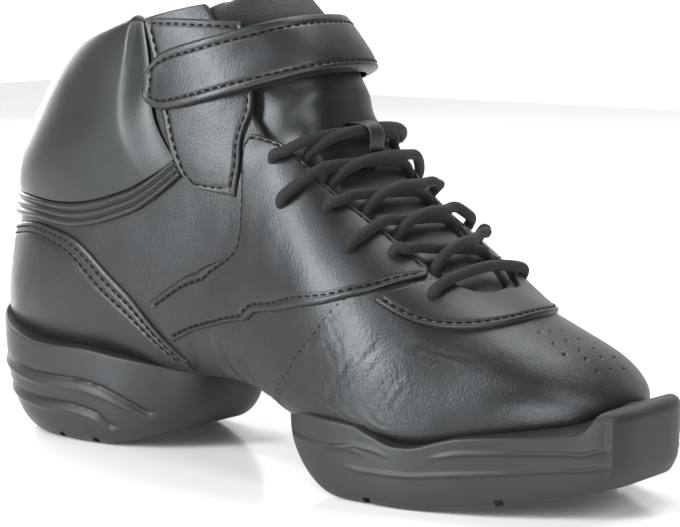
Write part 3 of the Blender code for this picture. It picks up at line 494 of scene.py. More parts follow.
# Leather: clouded colour and gloss, with the grain as its bump
def leatherMaterial(name, look):
    material, tree, shader, place = startMaterial(name)
    node = useGroup(tree, grain, place.outputs["Object"], Scale=look["grain"])
    dark, pale = look["dark"], look["pale"]
    cloud = mathNode(tree, "SUBTRACT", node.outputs["Cloud"], 0.3)
    cloud = mathNode(tree, "MULTIPLY", cloud, 2.2, clamp=True)
    tree.links.new(mixColour(tree, cloud, (*dark, 1), (*pale, 1)), shader.inputs["Base Color"])
    pores = mathNode(tree, "MULTIPLY", node.outputs["Pores"], 0.12)
    rough = mathNode(tree, "ADD", mathNode(tree, "MULTIPLY", cloud, look["roughSpread"]),
                     mathNode(tree, "ADD", pores, look["rough"] - 0.06))
    tree.links.new(rough, shader.inputs["Roughness"])
    bumpTo(tree, shader, node.outputs["Height"], look["bump"], 0.25 * mm)
    shader.inputs["Specular IOR Level"].default_value = look["specular"]
    shader.inputs["Specular Tint"].default_value = coolShine
    shader.inputs["Sheen Weight"].default_value = look["sheen"]
    shader.inputs["Sheen Roughness"].default_value = 0.45
    return material


# Moulded rubber: a fine speckle over slow clouds, matt
def rubberMaterial(name, look):
    material, tree, shader, place = startMaterial(name)
    speckle = noiseNode(tree, place.outputs["Object"], 2600.0, 2.0, .6)
    cloud = noiseNode(tree, place.outputs["Object"], 55.0, 4.0, .55)
    colour = mixColour(tree, cloud, (*look["dark"], 1), (*look["pale"], 1))
    tree.links.new(colour, shader.inputs["Base Color"])
    tree.links.new(mathNode(tree, "ADD", mathNode(tree, "MULTIPLY", cloud, 0.14), look["rough"] - 0.07),
                   shader.inputs["Roughness"])
    height = mathNode(tree, "ADD", speckle, mathNode(tree, "MULTIPLY", cloud, 0.8))
    bumpTo(tree, shader, height, look["bump"], 0.12 * mm)
    shader.inputs["Specular IOR Level"].default_value = look["specular"]
    shader.inputs["Specular Tint"].default_value = coolShine
    return material


# Cloth and thread: fuzz as bump and sheen, hardly any gloss
def clothMaterial(name, look):
    material, tree, shader, place = startMaterial(name)
    node = useGroup(tree, clothFuzz, place.outputs["Object"], Scale=look["fuzz"])
    fuzz, cloud = node.outputs["Fuzz"], node.outputs["Cloud"]
    colour = mixColour(tree, cloud, (*look["dark"], 1), (*look["pale"], 1))
    tree.links.new(colour, shader.inputs["Base Color"])
    height = mathNode(tree, "ADD", fuzz, mathNode(tree, "MULTIPLY", cloud, 0.5))
    bumpTo(tree, shader, height, look["bump"], 0.8 * mm)
    shader.inputs["Roughness"].default_value = 0.95
    shader.inputs["Specular IOR Level"].default_value = 0.15
    shader.inputs["Sheen Weight"].default_value = look["sheen"]
    shader.inputs["Sheen Roughness"].default_value = 0.5
    return material


# Braided cord: two crossing sets of diagonal plaits, from the cord's own UV (metres along, share round)
def cordMaterial(name, look):
    material, tree, shader, place = startMaterial(name)
    split = tree.nodes.new("ShaderNodeSeparateXYZ")
    tree.links.new(place.outputs["UV"], split.inputs[0])
    along = mathNode(tree, "MULTIPLY", split.outputs[0], look["plaits"])
    around = mathNode(tree, "MULTIPLY", split.outputs[1], 2 * np.pi * look["strands"])
    ridges = []
    for operation in ("ADD", "SUBTRACT"):
        wave = mathNode(tree, "SINE", mathNode(tree, operation, along, around))
        ridges.append(mathNode(tree, "ABSOLUTE", wave))
    weave = mathNode(tree, "MAXIMUM", *ridges)
    fuzz = noiseNode(tree, place.outputs["Object"], 4200.0, 3.0, .7)
    height = mathNode(tree, "ADD", weave, mathNode(tree, "MULTIPLY", fuzz, 0.5))
    # colour follows the weave: painted shade darkens the grooves between plaits and the ridges stay paler,
    # with random tone from the fuzz on top
    grooveShadeAndFuzz = mathNode(tree, "MULTIPLY", mathNode(tree, "ADD", weave, fuzz), 0.55, clamp=True)
    tree.links.new(mixColour(tree, grooveShadeAndFuzz, (*look["dark"], 1), (*look["pale"], 1)), shader.inputs["Base Color"])
    bumpTo(tree, shader, height, 0.6, 0.3 * mm)
    shader.inputs["Roughness"].default_value = 0.7
    shader.inputs["Specular IOR Level"].default_value = 0.22
    shader.inputs["Sheen Weight"].default_value = 0.04
    return material


leatherLooks = {
    "upperLeather": {"dark": (.0045, .0046, .0050), "pale": (.0085, .0086, .0092), "grain": 1050.0,
                     "bump": .34, "rough": .35, "roughSpread": .10, "specular": .50, "sheen": .02},
    "trimLeather": {"dark": (.0045, .0047, .0052), "pale": (.0085, .0087, .0094), "grain": 1150.0,
                    "bump": .26, "rough": .36, "roughSpread": .10, "specular": .50, "sheen": .02},
    "padLeather": {"dark": (.0055, .0060, .0058), "pale": (.0095, .0100, .0098), "grain": 1300.0,
                   "bump": .18, "rough": .38, "roughSpread": .06, "specular": .50, "sheen": .03},
}
clothLooks = {
    "liningCloth": {"dark": (.0030, .0030, .0032), "pale": (.0090, .0090, .0095), "fuzz": 1500.0,
                    "bump": .8, "sheen": .25},
    "footBedCloth": {"dark": (.008, .008, .0085), "pale": (.014, .014, .0148), "fuzz": 2200.0,
                     "bump": .4, "sheen": .1},
    "threadBlack": {"dark": (.0015, .0015, .0015), "pale": (.0040, .0040, .0040), "fuzz": 5000.0,
                    "bump": .5, "sheen": .1},
}
rubberLook = {"dark": (.012, .0122, .0128), "pale": (.020, .0203, .0210), "rough": .50, "bump": .22,
              "specular": .42}
cordLook = {"dark": (.0016, .0016, .0017), "pale": (.0150, .0150, .0158), "plaits": 2100.0, "strands": 5}
leathers = {name: leatherMaterial(name, look) for name, look in leatherLooks.items()}
rubber = rubberMaterial("soleRubber", rubberLook)
fuzzyCloth = clothMaterial("liningCloth", clothLooks["liningCloth"])
footBed = clothMaterial("footBedCloth", clothLooks["footBedCloth"])
laceCord = cordMaterial("laceCord", cordLook)
thread = clothMaterial("threadBlack", clothLooks["threadBlack"])
print("materials ready")


def roundOver(gap, radius):  # quarter circle: 0 at the edge, 1 from one radius inwards
    x = np.clip(gap / radius, 0, 1)
    return np.sqrt(np.clip(1 - (1 - x) ** 2, 0, 1))


rimSteps = np.array((0, .12, .32, .6, 1.0, 1.5)) * mm


def edgedShares(length, count):  # shares 0 to 1 along each length, closer by both ends
    length = np.asarray(length, float)[..., None]
    rim = rimSteps * np.minimum(1, length / (4 * rimSteps[-1]))
    first = rim / length
    middle = np.linspace(0, 1, count)[1:-1]
    start = first[..., -1:]
    middle = start + (1 - 2 * start) * middle
    return np.concatenate([first, middle, 1 - first[..., ::-1]], -1)


def sideRungs(rows):  # rungs given in the side view (hundredths) as stations and turns
    rows = np.asarray(rows, float) / 100
    low = placeFromSide(rows[:, 0] * last["length"], last["stand"] + rows[:, 1] * last["height"])
    high = placeFromSide(rows[:, 2] * last["length"], last["stand"] + rows[:, 3] * last["height"])
    return np.stack([low[0], low[1], high[0], high[1]], 1)


def mirrorRungs(rungs, centre):  # rungs that cross the middle line, whose place the first row gives
    rungs = np.array(rungs, float)
    rungs[:, [1, 3]] -= centre
    rungs[0, [1, 3]] = 0
    other = rungs[:0:-1].copy()
    other[:, [1, 3]] *= -1
    both = np.vstack([other, rungs])
    both[:, [1, 3]] += centre
    return both


# The rungs made even along the panel: for shares along and across, the place and the gaps to the edges
class PanelShape:
    def __init__(self, rungs, side):
        self.curve = splineOf(rungs)
        self.side = side
        self.numbers = np.linspace(0, len(rungs) - 1, 40 * len(rungs))
        fine = self.curve(self.numbers)
        middle = lastPoint((fine[:, 0] + fine[:, 2]) / 2, (fine[:, 1] + fine[:, 3]) / 2)
        self.walked = walkedAlong(middle)
        self.length = self.walked[-1]
        t = np.linspace(0, 1, 9)
        cross = lastPoint(fine[:, :1] * (1 - t) + fine[:, 2:3] * t, fine[:, 1:2] * (1 - t) + fine[:, 3:4] * t)
        self.width = np.linalg.norm(np.diff(cross, axis=1), axis=2).sum(1)

    def widthAt(self, share):
        return np.interp(share * self.length, self.walked, self.width)

    def at(self, share, across):
        table = self.curve(np.interp(share * self.length, self.walked, self.numbers))
        station = table[..., 0] * (1 - across) + table[..., 2] * across
        turn = (table[..., 1] * (1 - across) + table[..., 3] * across) * self.side
        width = self.widthAt(share)
        gaps = {"low": across * width, "high": (1 - across) * width,
                "start": share * self.length, "end": (1 - share) * self.length}
        return station, turn, gaps


panelEdges = ("low", "high", "start", "end")
seamPress = .45  # how deep a stitched line is pressed in, mm


# Height of a panel over the last: a rounded edge, a swell between the edges, an arch from end to end,
# pressed seam lines and ridges along it
def panelHeight(look, gaps, share, across):
    edge = 1.0
    for name in panelEdges:
        edge = edge * roundOver(gaps[name], look["edge"] * mm)
    sunk = -0.5 * mm
    height = sunk + (look["thick"] * mm + look["base"] * mm - sunk) * edge
    height = height + look.get("crown", 0) * mm * (4 * across * (1 - across)) ** 0.6 \
        * softStep(share / .16) * softStep((1 - share) / .16)
    if "arch" in look:
        height = height + look["arch"] * mm * softStep(2 * (1 - np.abs(2 * share - 1)))
    for name, inset in look.get("seams", ()):
        inside = 1.0
        for other in panelEdges:
            if other != name:
                inside = inside * softStep((gaps[other] - inset * mm * 0.7) / (0.6 * mm))
        groove = np.exp(-((gaps[name] - inset * mm) / (0.55 * mm)) ** 2)
        height = height - seamPress * mm * inside * groove
    if "ridges" in look:
        height = height + look["ridgeRise"] * mm * np.abs(np.sin(np.pi * look["ridges"] * across)) ** 0.7
    return height


# A panel as its own sheet over the leather: place from the rungs, height from panelHeight
def sewnPanel(name, rungs, look, replaced, side=1):
    shape = PanelShape(rungs, side)
    share = edgedShares(shape.length, look["long"])
    across = edgedShares(np.maximum(shape.widthAt(share), 1 * mm), look["wide"])
    share = share[:, None] + 0 * across
    station, turn, gaps = shape.at(share, across)
    height = panelHeight(look, gaps, share, across)
    grid = onLeather(station, turn, height, holes=False)
    mesh = gridMesh(name, grid)
    out = looksOut(grid, lastNormal(station, turn))
    addPiece(name, mesh, leathers["trimLeather"], (replaced,), flip=not out)
    seams = [seamPath(shape, look, edge, inset * mm) for edge, inset in look.get("seams", ())]
    return shape, seams


def seamPath(shape, look, edge, inset):  # the places of a stitch row at a fixed inset from one edge
    n = 400
    if edge in ("low", "high"):
        share = np.linspace(inset / shape.length, 1 - inset / shape.length, n)
        across = inset / shape.widthAt(share)
        share, across = share[across < .5], across[across < .5]
        across = across if edge == "low" else 1 - across
    else:
        share = np.full(n, inset / shape.length)
        share = share if edge == "start" else 1 - share
        rim = inset / shape.widthAt(share[0])
        across = np.linspace(rim, 1 - rim, n)
    station, turn, gaps = shape.at(share, across)
    plain = dict(look, seams=())
    return station, turn, panelHeight(plain, gaps, share, across)


# Stitches: short cords that dip into the leather at both ends, one every pitch along the row
stitching = {"pitch": 3.3, "length": 2.5, "thickness": 0.66, "rise": 0.30, "seat": 0.34,
             "sides": 6, "rings": 5}


def stitchMesh(paths):
    points, quads = [], []
    start = 0
    s = stitching
    t = np.linspace(0, 1, s["rings"])
    ring = np.linspace(0, 2 * np.pi, s["sides"], endpoint=False)
    for station, turn, height in paths:
        line = onLeather(station, turn, height, holes=False)
        up = lastNormal(station, turn)
        walked = walkedAlong(line)
        count = int(walked[-1] / (s["pitch"] * mm))
        if count < 1:
            continue
        first = (np.arange(count) + 0.5 - s["length"] / s["pitch"] / 2) * s["pitch"] * mm
        at = first[:, None] + t * s["length"] * mm
        centre = np.stack([np.interp(at, walked, line[:, k]) for k in range(3)], -1)
        normal = np.stack([np.interp(at, walked, up[:, k]) for k in range(3)], -1)
        across = unit(np.cross(unit(np.gradient(centre, axis=1)), normal))
        arch = np.sin(np.pi * t)
        centre = centre + normal * ((arch * s["rise"] - s["seat"]) * mm)[None, :, None]
        radius = s["thickness"] / 2 * mm * (0.25 + 0.75 * arch ** 0.5)
        body = centre[:, :, None] + radius[None, :, None, None] * (
            np.cos(ring)[:, None] * across[:, :, None] + np.sin(ring)[:, None] * normal[:, :, None])
        quad = gridQuads(s["rings"], s["sides"], closed=True)
        each = s["rings"] * s["sides"]
        for n in range(count):
            points.append(body[n].reshape(-1, 3))
            quads.append(quad + start)
            start += each
    return newMesh("stitches", np.concatenate(points), np.concatenate(quads))


def addStitches(name, paths):
    addPiece(name, stitchMesh(paths), thread)


# Panels: steps along and across, heights in mm, seams as (edge, inset), and rungs from one long edge
# to the other, by side view in hundredths for band, counter and flap, else by station and turn
panels = {
    "band": {"long": 150, "wide": 22, "base": .3, "thick": .9, "ridges": 3, "ridgeRise": 1.1, "edge": .5,
             "steps": 700, "stitchRise": 1.05,
             "rungs": ((-1.6, 41.8, -1.4, 48.6), (4.6, 41.4, 4.6, 48.0), (12.2, 41.4, 12.2, 47.4),
                       (21.4, 41.8, 20.6, 48.2), (28.2, 45.4, 27.4, 51.5), (33.6, 50.4, 32.4, 55.5),
                       (38.6, 57.2, 37.2, 61.4))},
    "counter": {"long": 150, "wide": 50, "base": .3, "thick": 1.0, "edge": .9, "crown": .9,
                "seams": (("high", 1.9), ("high", 4.1)),
                "rungs": ((-1.3, 13.0, -1.7, 38.2), (3.0, 11.0, 3.8, 39.6), (8.4, 8.0, 10.6, 40.6),
                          (14.5, 7.4, 17.5, 38.4), (21.0, 7.0, 22.9, 32.2), (26.3, 6.4, 28.2, 24.8),
                          (31.2, 5.6, 32.0, 18.0), (35.0, 4.9, 35.1, 12.3), (37.1, 4.4, 37.4, 8.2))},
    "flap": {"long": 90, "wide": 60, "base": .3, "thick": 1.3, "edge": 1.0, "crown": .5,
             "seams": (("low", 2.6), ("high", 2.4), ("start", 2.4), ("end", 2.6)),
             "rungs": ((41.1, 54.4, 47.6, 52.6), (38.5, 57.3, 47.7, 57.0), (37.1, 60.6, 47.8, 62.0),
                       (35.8, 66.4, 47.8, 68.6), (34.6, 73.7, 48.6, 75.6), (32.8, 84.7, 47.6, 84.7),
                       (30.4, 97.0, 44.6, 96.4))},
    "quarter": {"long": 150, "wide": 90, "base": .3, "thick": 1.2, "edge": .9, "crown": .3,
                "seams": (("low", 2.2), ("high", 2.4)),
                "rungs": ((9.83, .653, 10.72, .565), (9.52, .605, 10.49, .525), (9.07, .562, 10.22, .503),
                          (8.61, .521, 9.73, .490), (8.19, .499, 9.39, .459), (7.74, .481, 9.85, .415),
                          (7.34, .452, 11.23, .345), (6.99, .421, 12.45, .300), (6.63, .387, 11.70, .262),
                          (6.32, .353, 9.80, .213), (6.01, .313, 8.10, .163), (5.70, .267, 6.90, .120),
                          (5.45, .215, 6.00, .106), (5.24, .165, 5.50, .105), (5.12, .130, 5.22, .106))},
    "guard": {"long": 130, "wide": 40, "base": .3, "thick": 1.5, "edge": 1.0, "crown": .2,
              "seams": (("low", 2.2),),
              "rungs": ((3.40, .000, 4.22, .000), (3.44, .070, 4.22, .042), (3.58, .135, 4.36, .080),
                        (3.85, .195, 4.68, .101), (4.25, .240, 4.96, .118), (4.70, .268, 5.10, .150),
                        (5.20, .282, 5.32, .212), (5.62, .286, 5.58, .262))},
    "strap": {"long": 170, "wide": 50, "base": 1.5, "thick": 2.6, "edge": 1.1, "arch": 1.8, "crown": .25,
              "seams": (("low", 3.4), ("high", 3.4), ("start", 4.2)),
              "rungs": ((15.93, -.476, 16.25, -.476), (15.55, -.468, 16.62, -.468),
                        (15.28, -.455, 16.84, -.456), (14.98, -.420, 17.03, -.425),
                        (14.70, -.330, 17.05, -.335), (14.50, -.240, 17.05, -.240),
                        (14.30, -.120, 17.05, -.120), (14.20, .000, 17.05, .000),
                        (14.30, .120, 17.05, .120), (14.60, .250, 17.05, .250),
                        (14.90, .360, 17.00, .360), (15.10, .440, 16.95, .440))},
}

def addPanels():  # the panels from heel to throat, with stitches in the band's valleys and along seams
    band, counter, guard = panels["band"], panels["counter"], panels["guard"]
    quarter, flap = panels["quarter"], panels["flap"]
    bandShape, seams = sewnPanel("collarBand", mirrorRungs(sideRungs(band["rungs"]), 1), band, "collar_band")
    share = np.linspace(0.004, 0.996, band["steps"])
    for valley in range(1, band["ridges"]):
        station, turn, _ = bandShape.at(share, np.full(len(share), valley / band["ridges"]))
        seams.append((station, turn, np.full(len(share), band["stitchRise"] * mm)))
    seams += sewnPanel("heelCounter", mirrorRungs(sideRungs(counter["rungs"]), 1), counter, "heel_counter")[1]
    seams += sewnPanel("throatGuard", mirrorRungs(guard["rungs"], 0), guard, "throat_guard")[1]
    for side, word in ((-1, "right"), (1, "left")):
        seams += sewnPanel("quarter_" + word, quarter["rungs"], quarter, "quarter_" + word, side)[1]
        seams += sewnPanel("ankleFlap_" + word, sideRungs(flap["rungs"]), flap, "ankle_flap_" + word, side)[1]
    addStitches("panelStitches", seams)


def addStrap():
    seams = sewnPanel("ankleStrap", panels["strap"]["rungs"], panels["strap"], "ankle_strap")[1]
    addStitches("strapStitches", seams)


upperLook = {"rows": 330, "columns": 290, "slit": 4.25, "rimRows": 6, "round": 1.2,
             "rowShares": (0, .07, .30, 1.0), "rowStations": (0, 1.3, 3.4, last["rim"]),
             "dentDepth": 1.4, "dentWidth": 2.2, "seamShift": 0.085}


def throatTurn(station):  # half opening of the throat, which starts as a round slit
    opened = np.clip((station - upperLook["slit"]) / 0.4, 0, 1)
    return readTable(throatEdge, 1, station) * np.sqrt(1 - (1 - opened) ** 2)


def rimPlace(station, turn):  # the station moved to follow the rim's wave near the top
    return station + readTable(rimShape, 1, np.abs(wrapTurn(turn))) * softStep((station - 16) / 2)


# The shell: rows from the toe tip to the rim, columns from one throat edge under the foot to the
# other, dropping round the cut edges to the inside of the wall
def addUpper():
    look = upperLook
    station = np.interp(np.linspace(0, 1, look["rows"]), look["rowShares"], look["rowStations"])[:, None]
    station = np.r_[station, np.full((look["rimRows"], 1), last["rim"])]
    half = np.linspace(0, 1, look["columns"])
    half = half - 0.012 * np.sin(2 * np.pi * half)  # columns gather a little at the throat edges
    edge = throatTurn(station)
    turn = edge + (2 - 2 * edge) * half
    place = rimPlace(station, turn)
    points = lastPoint(place, turn)
    gapEdge = np.minimum(half, 1 - half) * 2 * 0.11 * np.ones_like(edge)
    opened = softStep((station - look["slit"]) / 0.3)
    drop = (1 - roundOver(gapEdge, look["round"] * mm)) * opened
    tail = np.zeros_like(station)
    tail[-look["rimRows"]:, 0] = np.linspace(0.15, 1, look["rimRows"])
    drop = np.maximum(drop, tail)
    normal = lastNormal(place, turn)
    height = relief(points) - 1.3 * last["wall"] * drop
    for s, t in eyelets:
        for side in (-1, 1):
            gap = np.linalg.norm(points - lastPoint(s, side * t), axis=-1)
            height -= look["dentDepth"] * mm * np.exp(-(gap / (look["dentWidth"] * mm)) ** 2)
    grid = points + normal * height[..., None]
    mesh = gridMesh("upperShell", grid)
    addPiece("upperShell", mesh, leathers["upperLeather"], ("upper",),
             weld=2e-6, flip=not looksOut(grid, normal))
    seam = creases["seams"][0][3]
    curve = splineOf(seam)(np.linspace(0, len(seam) - 1, 300))
    paths = [(curve[:, 0] + look["seamShift"], side * curve[:, 1], np.zeros(300)) for side in (-1, 1)]
    addStitches("vampStitches", paths)


liningLook = {"rows": 90, "columns": 120, "gap": 0.5}


def addLining():  # the inside of the shell, a little in from the wall
    station = np.linspace(1.0, last["rim"], liningLook["rows"])[:, None]
    half = np.linspace(0, 1, liningLook["columns"])
    edge = throatTurn(station) * 1.02
    turn = edge + (2 - 2 * edge) * half
    place = rimPlace(station, turn) - 0.05 * softStep(station - 17)
    points = lastPoint(place, turn)
    depth = last["wall"] + liningLook["gap"] * mm + 0.2 * mm * lumps(points, 9 * mm, 5)
    grid = points - lastNormal(place, turn) * depth[..., None]
    mesh = gridMesh("shoeLining", grid)
    addPiece("shoeLining", mesh, fuzzyCloth, flip=looksOut(grid, lastNormal(place, turn)))


insoleLook = {"rows": 90, "columns": 40, "from": 0.9, "to": 12.4, "edge": .80, "seat": 3.1, "thick": 3.5}


def addInsole():  # a closed slab along the inside of the bottom: top and underside joined at the rim
    look = insoleLook
    station = np.linspace(look["from"], look["to"], look["rows"])[:, None]
    ringTurn = np.linspace(look["edge"], 2 - look["edge"], look["columns"])
    turn = np.r_[ringTurn, ringTurn[::-1]] + 0 * station
    side = np.r_[np.ones(look["columns"]), np.zeros(look["columns"])]
    points = lastPoint(station, turn)
    ends = roundOver(np.minimum(station - look["from"], look["to"] - station) * 20 * mm, 2 * mm)
    edge = roundOver(np.minimum(turn - look["edge"], 2 - look["edge"] - turn) * 90 * mm, 2 * mm)
    depth = look["seat"] * mm + look["thick"] * mm * (0.5 + (side - 0.5) * ends * edge)
    depth = depth + 0.15 * mm * side * lumps(points, 14 * mm, 9)
    grid = points - lastNormal(station, turn) * depth[..., None]
    mesh = gridMesh("footBed", grid, closed=True)
    addPiece("footBed", mesh, footBed, ("insole",), weld=1e-6,
             flip=not looksOut(grid, -lastNormal(station, turn)))


padLook = {"long": 130, "outer": 40, "roll": 14, "inner": 24, "rise": 5.2, "innerRise": 3.2, "base": 0.5,
           "endShare": .07, "endRise": .15, "dents": ((.35, 26), (.12, 9)),
           "rungs": ((-1.2, 49.0, 10.0, 84.8), (4.6, 48.2, 14.2, 87.4), (12.2, 47.6, 19.2, 89.8),
                     (20.6, 48.4, 23.0, 91.8), (27.4, 51.7, 26.4, 93.6), (32.4, 55.7, 28.8, 95.0),
                     (37.2, 61.2, 30.6, 95.8))}


# Cross-section of the roll: up the outside with a swell that is pinched at the band, a half circle
# over the rim, and down the inside with a smaller swell
def addCollarPad():
    look = padLook
    shape = PanelShape(mirrorRungs(sideRungs(look["rungs"]), 1), 1)
    share = edgedShares(shape.length, look["long"])[:, None]
    up = np.r_[0, .01, .03, .06, np.linspace(.10, 1, look["outer"] - 4)]
    ends = softStep(share / look["endShare"]) * softStep((1 - share) / look["endShare"])
    ends = look["endRise"] + (1 - look["endRise"]) * ends
    rise = np.sin(np.pi * (0.04 + 0.84 * up)) ** 0.62
    outOffset = look["base"] * mm + look["rise"] * mm * rise * ends
    outStation, outTurn, _ = shape.at(share + 0 * up, up + 0 * share)
    outside = lastPoint(outStation, outTurn)
    outNormal = lastNormal(outStation, outTurn)
    (slow, slowSize), (quick, quickSize) = look["dents"]
    dents = slow * lumps(outside, slowSize * mm, 3) + quick * lumps(outside, quickSize * mm, 4)
    outside = outside + outNormal * (outOffset + dents * mm * rise)[..., None]
    down = np.linspace(1, .30, look["inner"])
    inStation, inTurn, _ = shape.at(share + 0 * down, down + 0 * share)
    swell = np.sin(np.pi * np.clip((1 - down) / .7 * .75 + .25, 0, 1)) ** 0.6
    innerRise = look["innerRise"] * mm * swell * ends
    inOffset = -last["wall"] - 0.3 * mm - innerRise
    inside = lastPoint(inStation, inTurn) + lastNormal(inStation, inTurn) * inOffset[..., None]
    upward = unit(outside[:, -1] - outside[:, -4])
    centre = (outside[:, -1] + inside[:, 0]) / 2
    reach = (outside[:, -1] - inside[:, 0]) / 2
    angle = np.linspace(0, np.pi, look["roll"] + 2)[1:-1]
    rollUp = np.linalg.norm(reach, axis=1)[:, None, None] * upward[:, None] * np.sin(angle)[None, :, None]
    roll = centre[:, None] + reach[:, None] * np.cos(angle)[None, :, None] + rollUp
    grid = np.concatenate([outside, roll, inside], 1)
    mesh = gridMesh("collarPad", grid)
    piece = addPiece("collarPad", mesh, leathers["padLeather"], ("collar_pad",),
                     flip=not looksOut(grid[:, :look["outer"]], outNormal))


tongueLook = {"rows": 150, "columns": 72, "from": 4.0, "to": 18.70, "thick": 4.6, "rise": 2.8, "under": 3.1,
              "cloth": 16.6, "narrowing": .45, "flare": 1.2}


# Closed ring per row: across = cos, height = |sin|^0.45 over and under a middle sheet
def addTongue():
    look = tongueLook
    station = np.linspace(0, 1, look["rows"])
    station = (look["from"] + (look["to"] - look["from"]) * station)[:, None]
    angle = np.linspace(0, 2 * np.pi, look["columns"], endpoint=False)
    across = np.cos(angle)
    face = np.sign(np.sin(angle)) * np.abs(np.sin(angle)) ** 0.45
    narrow = 1 - look["narrowing"] * softStep((station - 17.6) / 1.35) ** 2
    turn = readTable(throatEdge, 1, station) * 1.25 * across * narrow
    swell = softStep((1 - np.abs(across) * 1.25) / 0.35 + .1) * softStep((station - 4.1) / 0.9)
    place = station + 0.35 * (1 - (1.25 * across) ** 2).clip(0) * softStep((station - 17) / 2)
    points = lastPoint(place, turn)
    middle = -look["under"] * mm - look["thick"] / 2 * mm + look["rise"] * 0.8 * mm * swell
    tip = roundOver((look["to"] - station) * 9 * mm, 4 * mm)
    tip = tip * roundOver((station - look["from"]) * 25 * mm, 3 * mm)
    soft = 0.45 * lumps(points, 17 * mm, 6) + 0.3 * lumps(points, 6 * mm, 8) * softStep((station - 16.4) / .8)
    half = (look["thick"] / 2 + soft * (face > 0) + look["flare"] * softStep(station - look["cloth"])) * mm
    grid = points + lastNormal(np.minimum(place, 18.9), turn) * (middle + half * face * tip)[..., None]
    quads = gridQuads(*grid.shape[:2], closed=True)
    mesh = newMesh("tonguePad", grid.reshape(-1, 3), quads, gridUv(grid))
    rowOf = quads[:, 0] // look["columns"]
    cloth = (station[rowOf, 0] > look["cloth"]) | (np.sin(angle)[quads[:, 0] % look["columns"]] < -0.15)
    mesh.polygons.foreach_set("material_index", cloth.astype(np.int32))
    out = looksOut(grid, lastNormal(place, turn) * np.sign(np.sin(angle))[None, :, None])
    piece = addPiece("tonguePad", mesh, [leathers["padLeather"], fuzzyCloth], ("tongue",),
                     weld=1e-6, flip=not out)


laceLook = {"width": 4.0, "sides": 24, "step": 0.50, "braid": 0.20, "plait": 2.6, "ribs": 8}


# A cord along a smooth line: rings of r * (1 - braid + braid * (0.45 * plaits + 0.55 * ribs)), each
# set square to the line by cross products with a fixed slant
def cordMesh(name, lines):
    points, quads, uvs = [], [], []
    start = 0
    look = laceLook
    for line in lines:
        line = splineOf(line)(np.linspace(0, len(line) - 1, 40 * len(line)))
        walked = walkedAlong(line)
        count = int(walked[-1] / (look["step"] * mm))
        at = np.linspace(0, walked[-1], count)
        line = np.stack([np.interp(at, walked, line[:, k]) for k in range(3)], -1)
        ahead = unit(np.gradient(line, axis=0))
        guide = unit(np.cross(ahead, np.array((0.35, 0.0, 1.0))))
        other = np.cross(guide, ahead)
        ring = np.linspace(0, 2 * np.pi, look["sides"], endpoint=False)
        phase = at[:, None] / (look["plait"] * mm) * 2 * np.pi
        weave = np.maximum(np.abs(np.sin(phase / 2 + 2 * ring)), np.abs(np.sin(phase / 2 - 2 * ring)))
        ribs = np.abs(np.cos(look["ribs"] / 2 * ring)) ** 0.5 + 0 * phase
        radius = look["width"] / 2 * mm * (1 - look["braid"] + look["braid"] * (0.45 * weave + 0.55 * ribs))
        body = line[:, None] + radius[..., None] * (np.cos(ring)[None, :, None] * guide[:, None]
                                                    + np.sin(ring)[None, :, None] * other[:, None])
        points.append(body.reshape(-1, 3))
        quads.append(gridQuads(count, look["sides"], closed=True, start=start))
        u, v = np.meshgrid(at, ring / (2 * np.pi), indexing="ij")
        uvs.append(np.stack([u, v], -1).reshape(-1, 2))
        start += count * look["sides"]
    return newMesh(name, np.concatenate(points), np.concatenate(quads), np.concatenate(uvs))


# Each strand leaves its eyelet, lies over its own throat edge, crosses the tongue and dips under the
# other edge beside the next eyelet down; the strands from the inner side lie on top
def addLaces():
    r = laceLook["width"] / 2
    lines = []
    for side, lift, proud in ((-1, 0.2, 0.0), (1, 3.0, 1.6)):
        for k in range(len(eyelets) - 1):
            s0, t0 = eyelets[k]
            s1 = eyelets[k + 1][0]
            sEdge = s0 - 0.22 * (s0 - s1)
            sMid = s0 - 0.50 * (s0 - s1)
            sFar = s0 - 0.66 * (s0 - s1)
            own, far = readTable(throatEdge, 1, sEdge), readTable(throatEdge, 1, sFar)
            keys = ((s0 + .05, t0 + .012, -3.4), (s0, t0, -0.6), (s0 - .02, t0 - .018, 1.9 + r * .8 + proud),
                    ((s0 + sEdge) / 2 - .03, (t0 + own) / 2, 1.7 + r + proud), (sEdge, own, 1.5 + r + proud),
                    ((sEdge + sMid) / 2, own * .55, 0.6 + r + lift * .5), (sMid, 0, 0.3 + r + lift),
                    ((sMid + sFar) / 2, -far * .55, 0.0 + r + lift * .45), (sFar, -far * .93, -0.9),
                    (sFar - .05, -far * 1.12, -2.9), (sFar - .10, -far * 1.35, -4.4))
            keys = np.array(keys)
            lines.append(lastPoint(keys[:, 0], side * keys[:, 1])
                         + lastNormal(keys[:, 0], side * keys[:, 1]) * keys[:, 2:3] * mm)
    s, t = eyelets[-1]
    turns = np.array((-t - .012, -t, -t + .02, -t * .6, 0, t * .6, t - .02, t, t + .012))
    lifts = np.array((-3.4, -.6, 3.6, 3.9, 3.7, 3.9, 3.6, -.6, -3.4))
    stations = s - .12 * (1 - (turns / t) ** 2).clip(0)
    lines.append(lastPoint(stations, turns) + lastNormal(stations, turns) * lifts[:, None] * mm)
    addPiece("laceCords", cordMesh("laceCords", lines), laceCord, ("laces",))


keeperLook = {"from": 10.1, "to": 7.95, "width": (7.2, 8.6), "thick": 1.1, "rise": 9.3, "seat": 0.8,
              "rows": 60, "columns": 24}


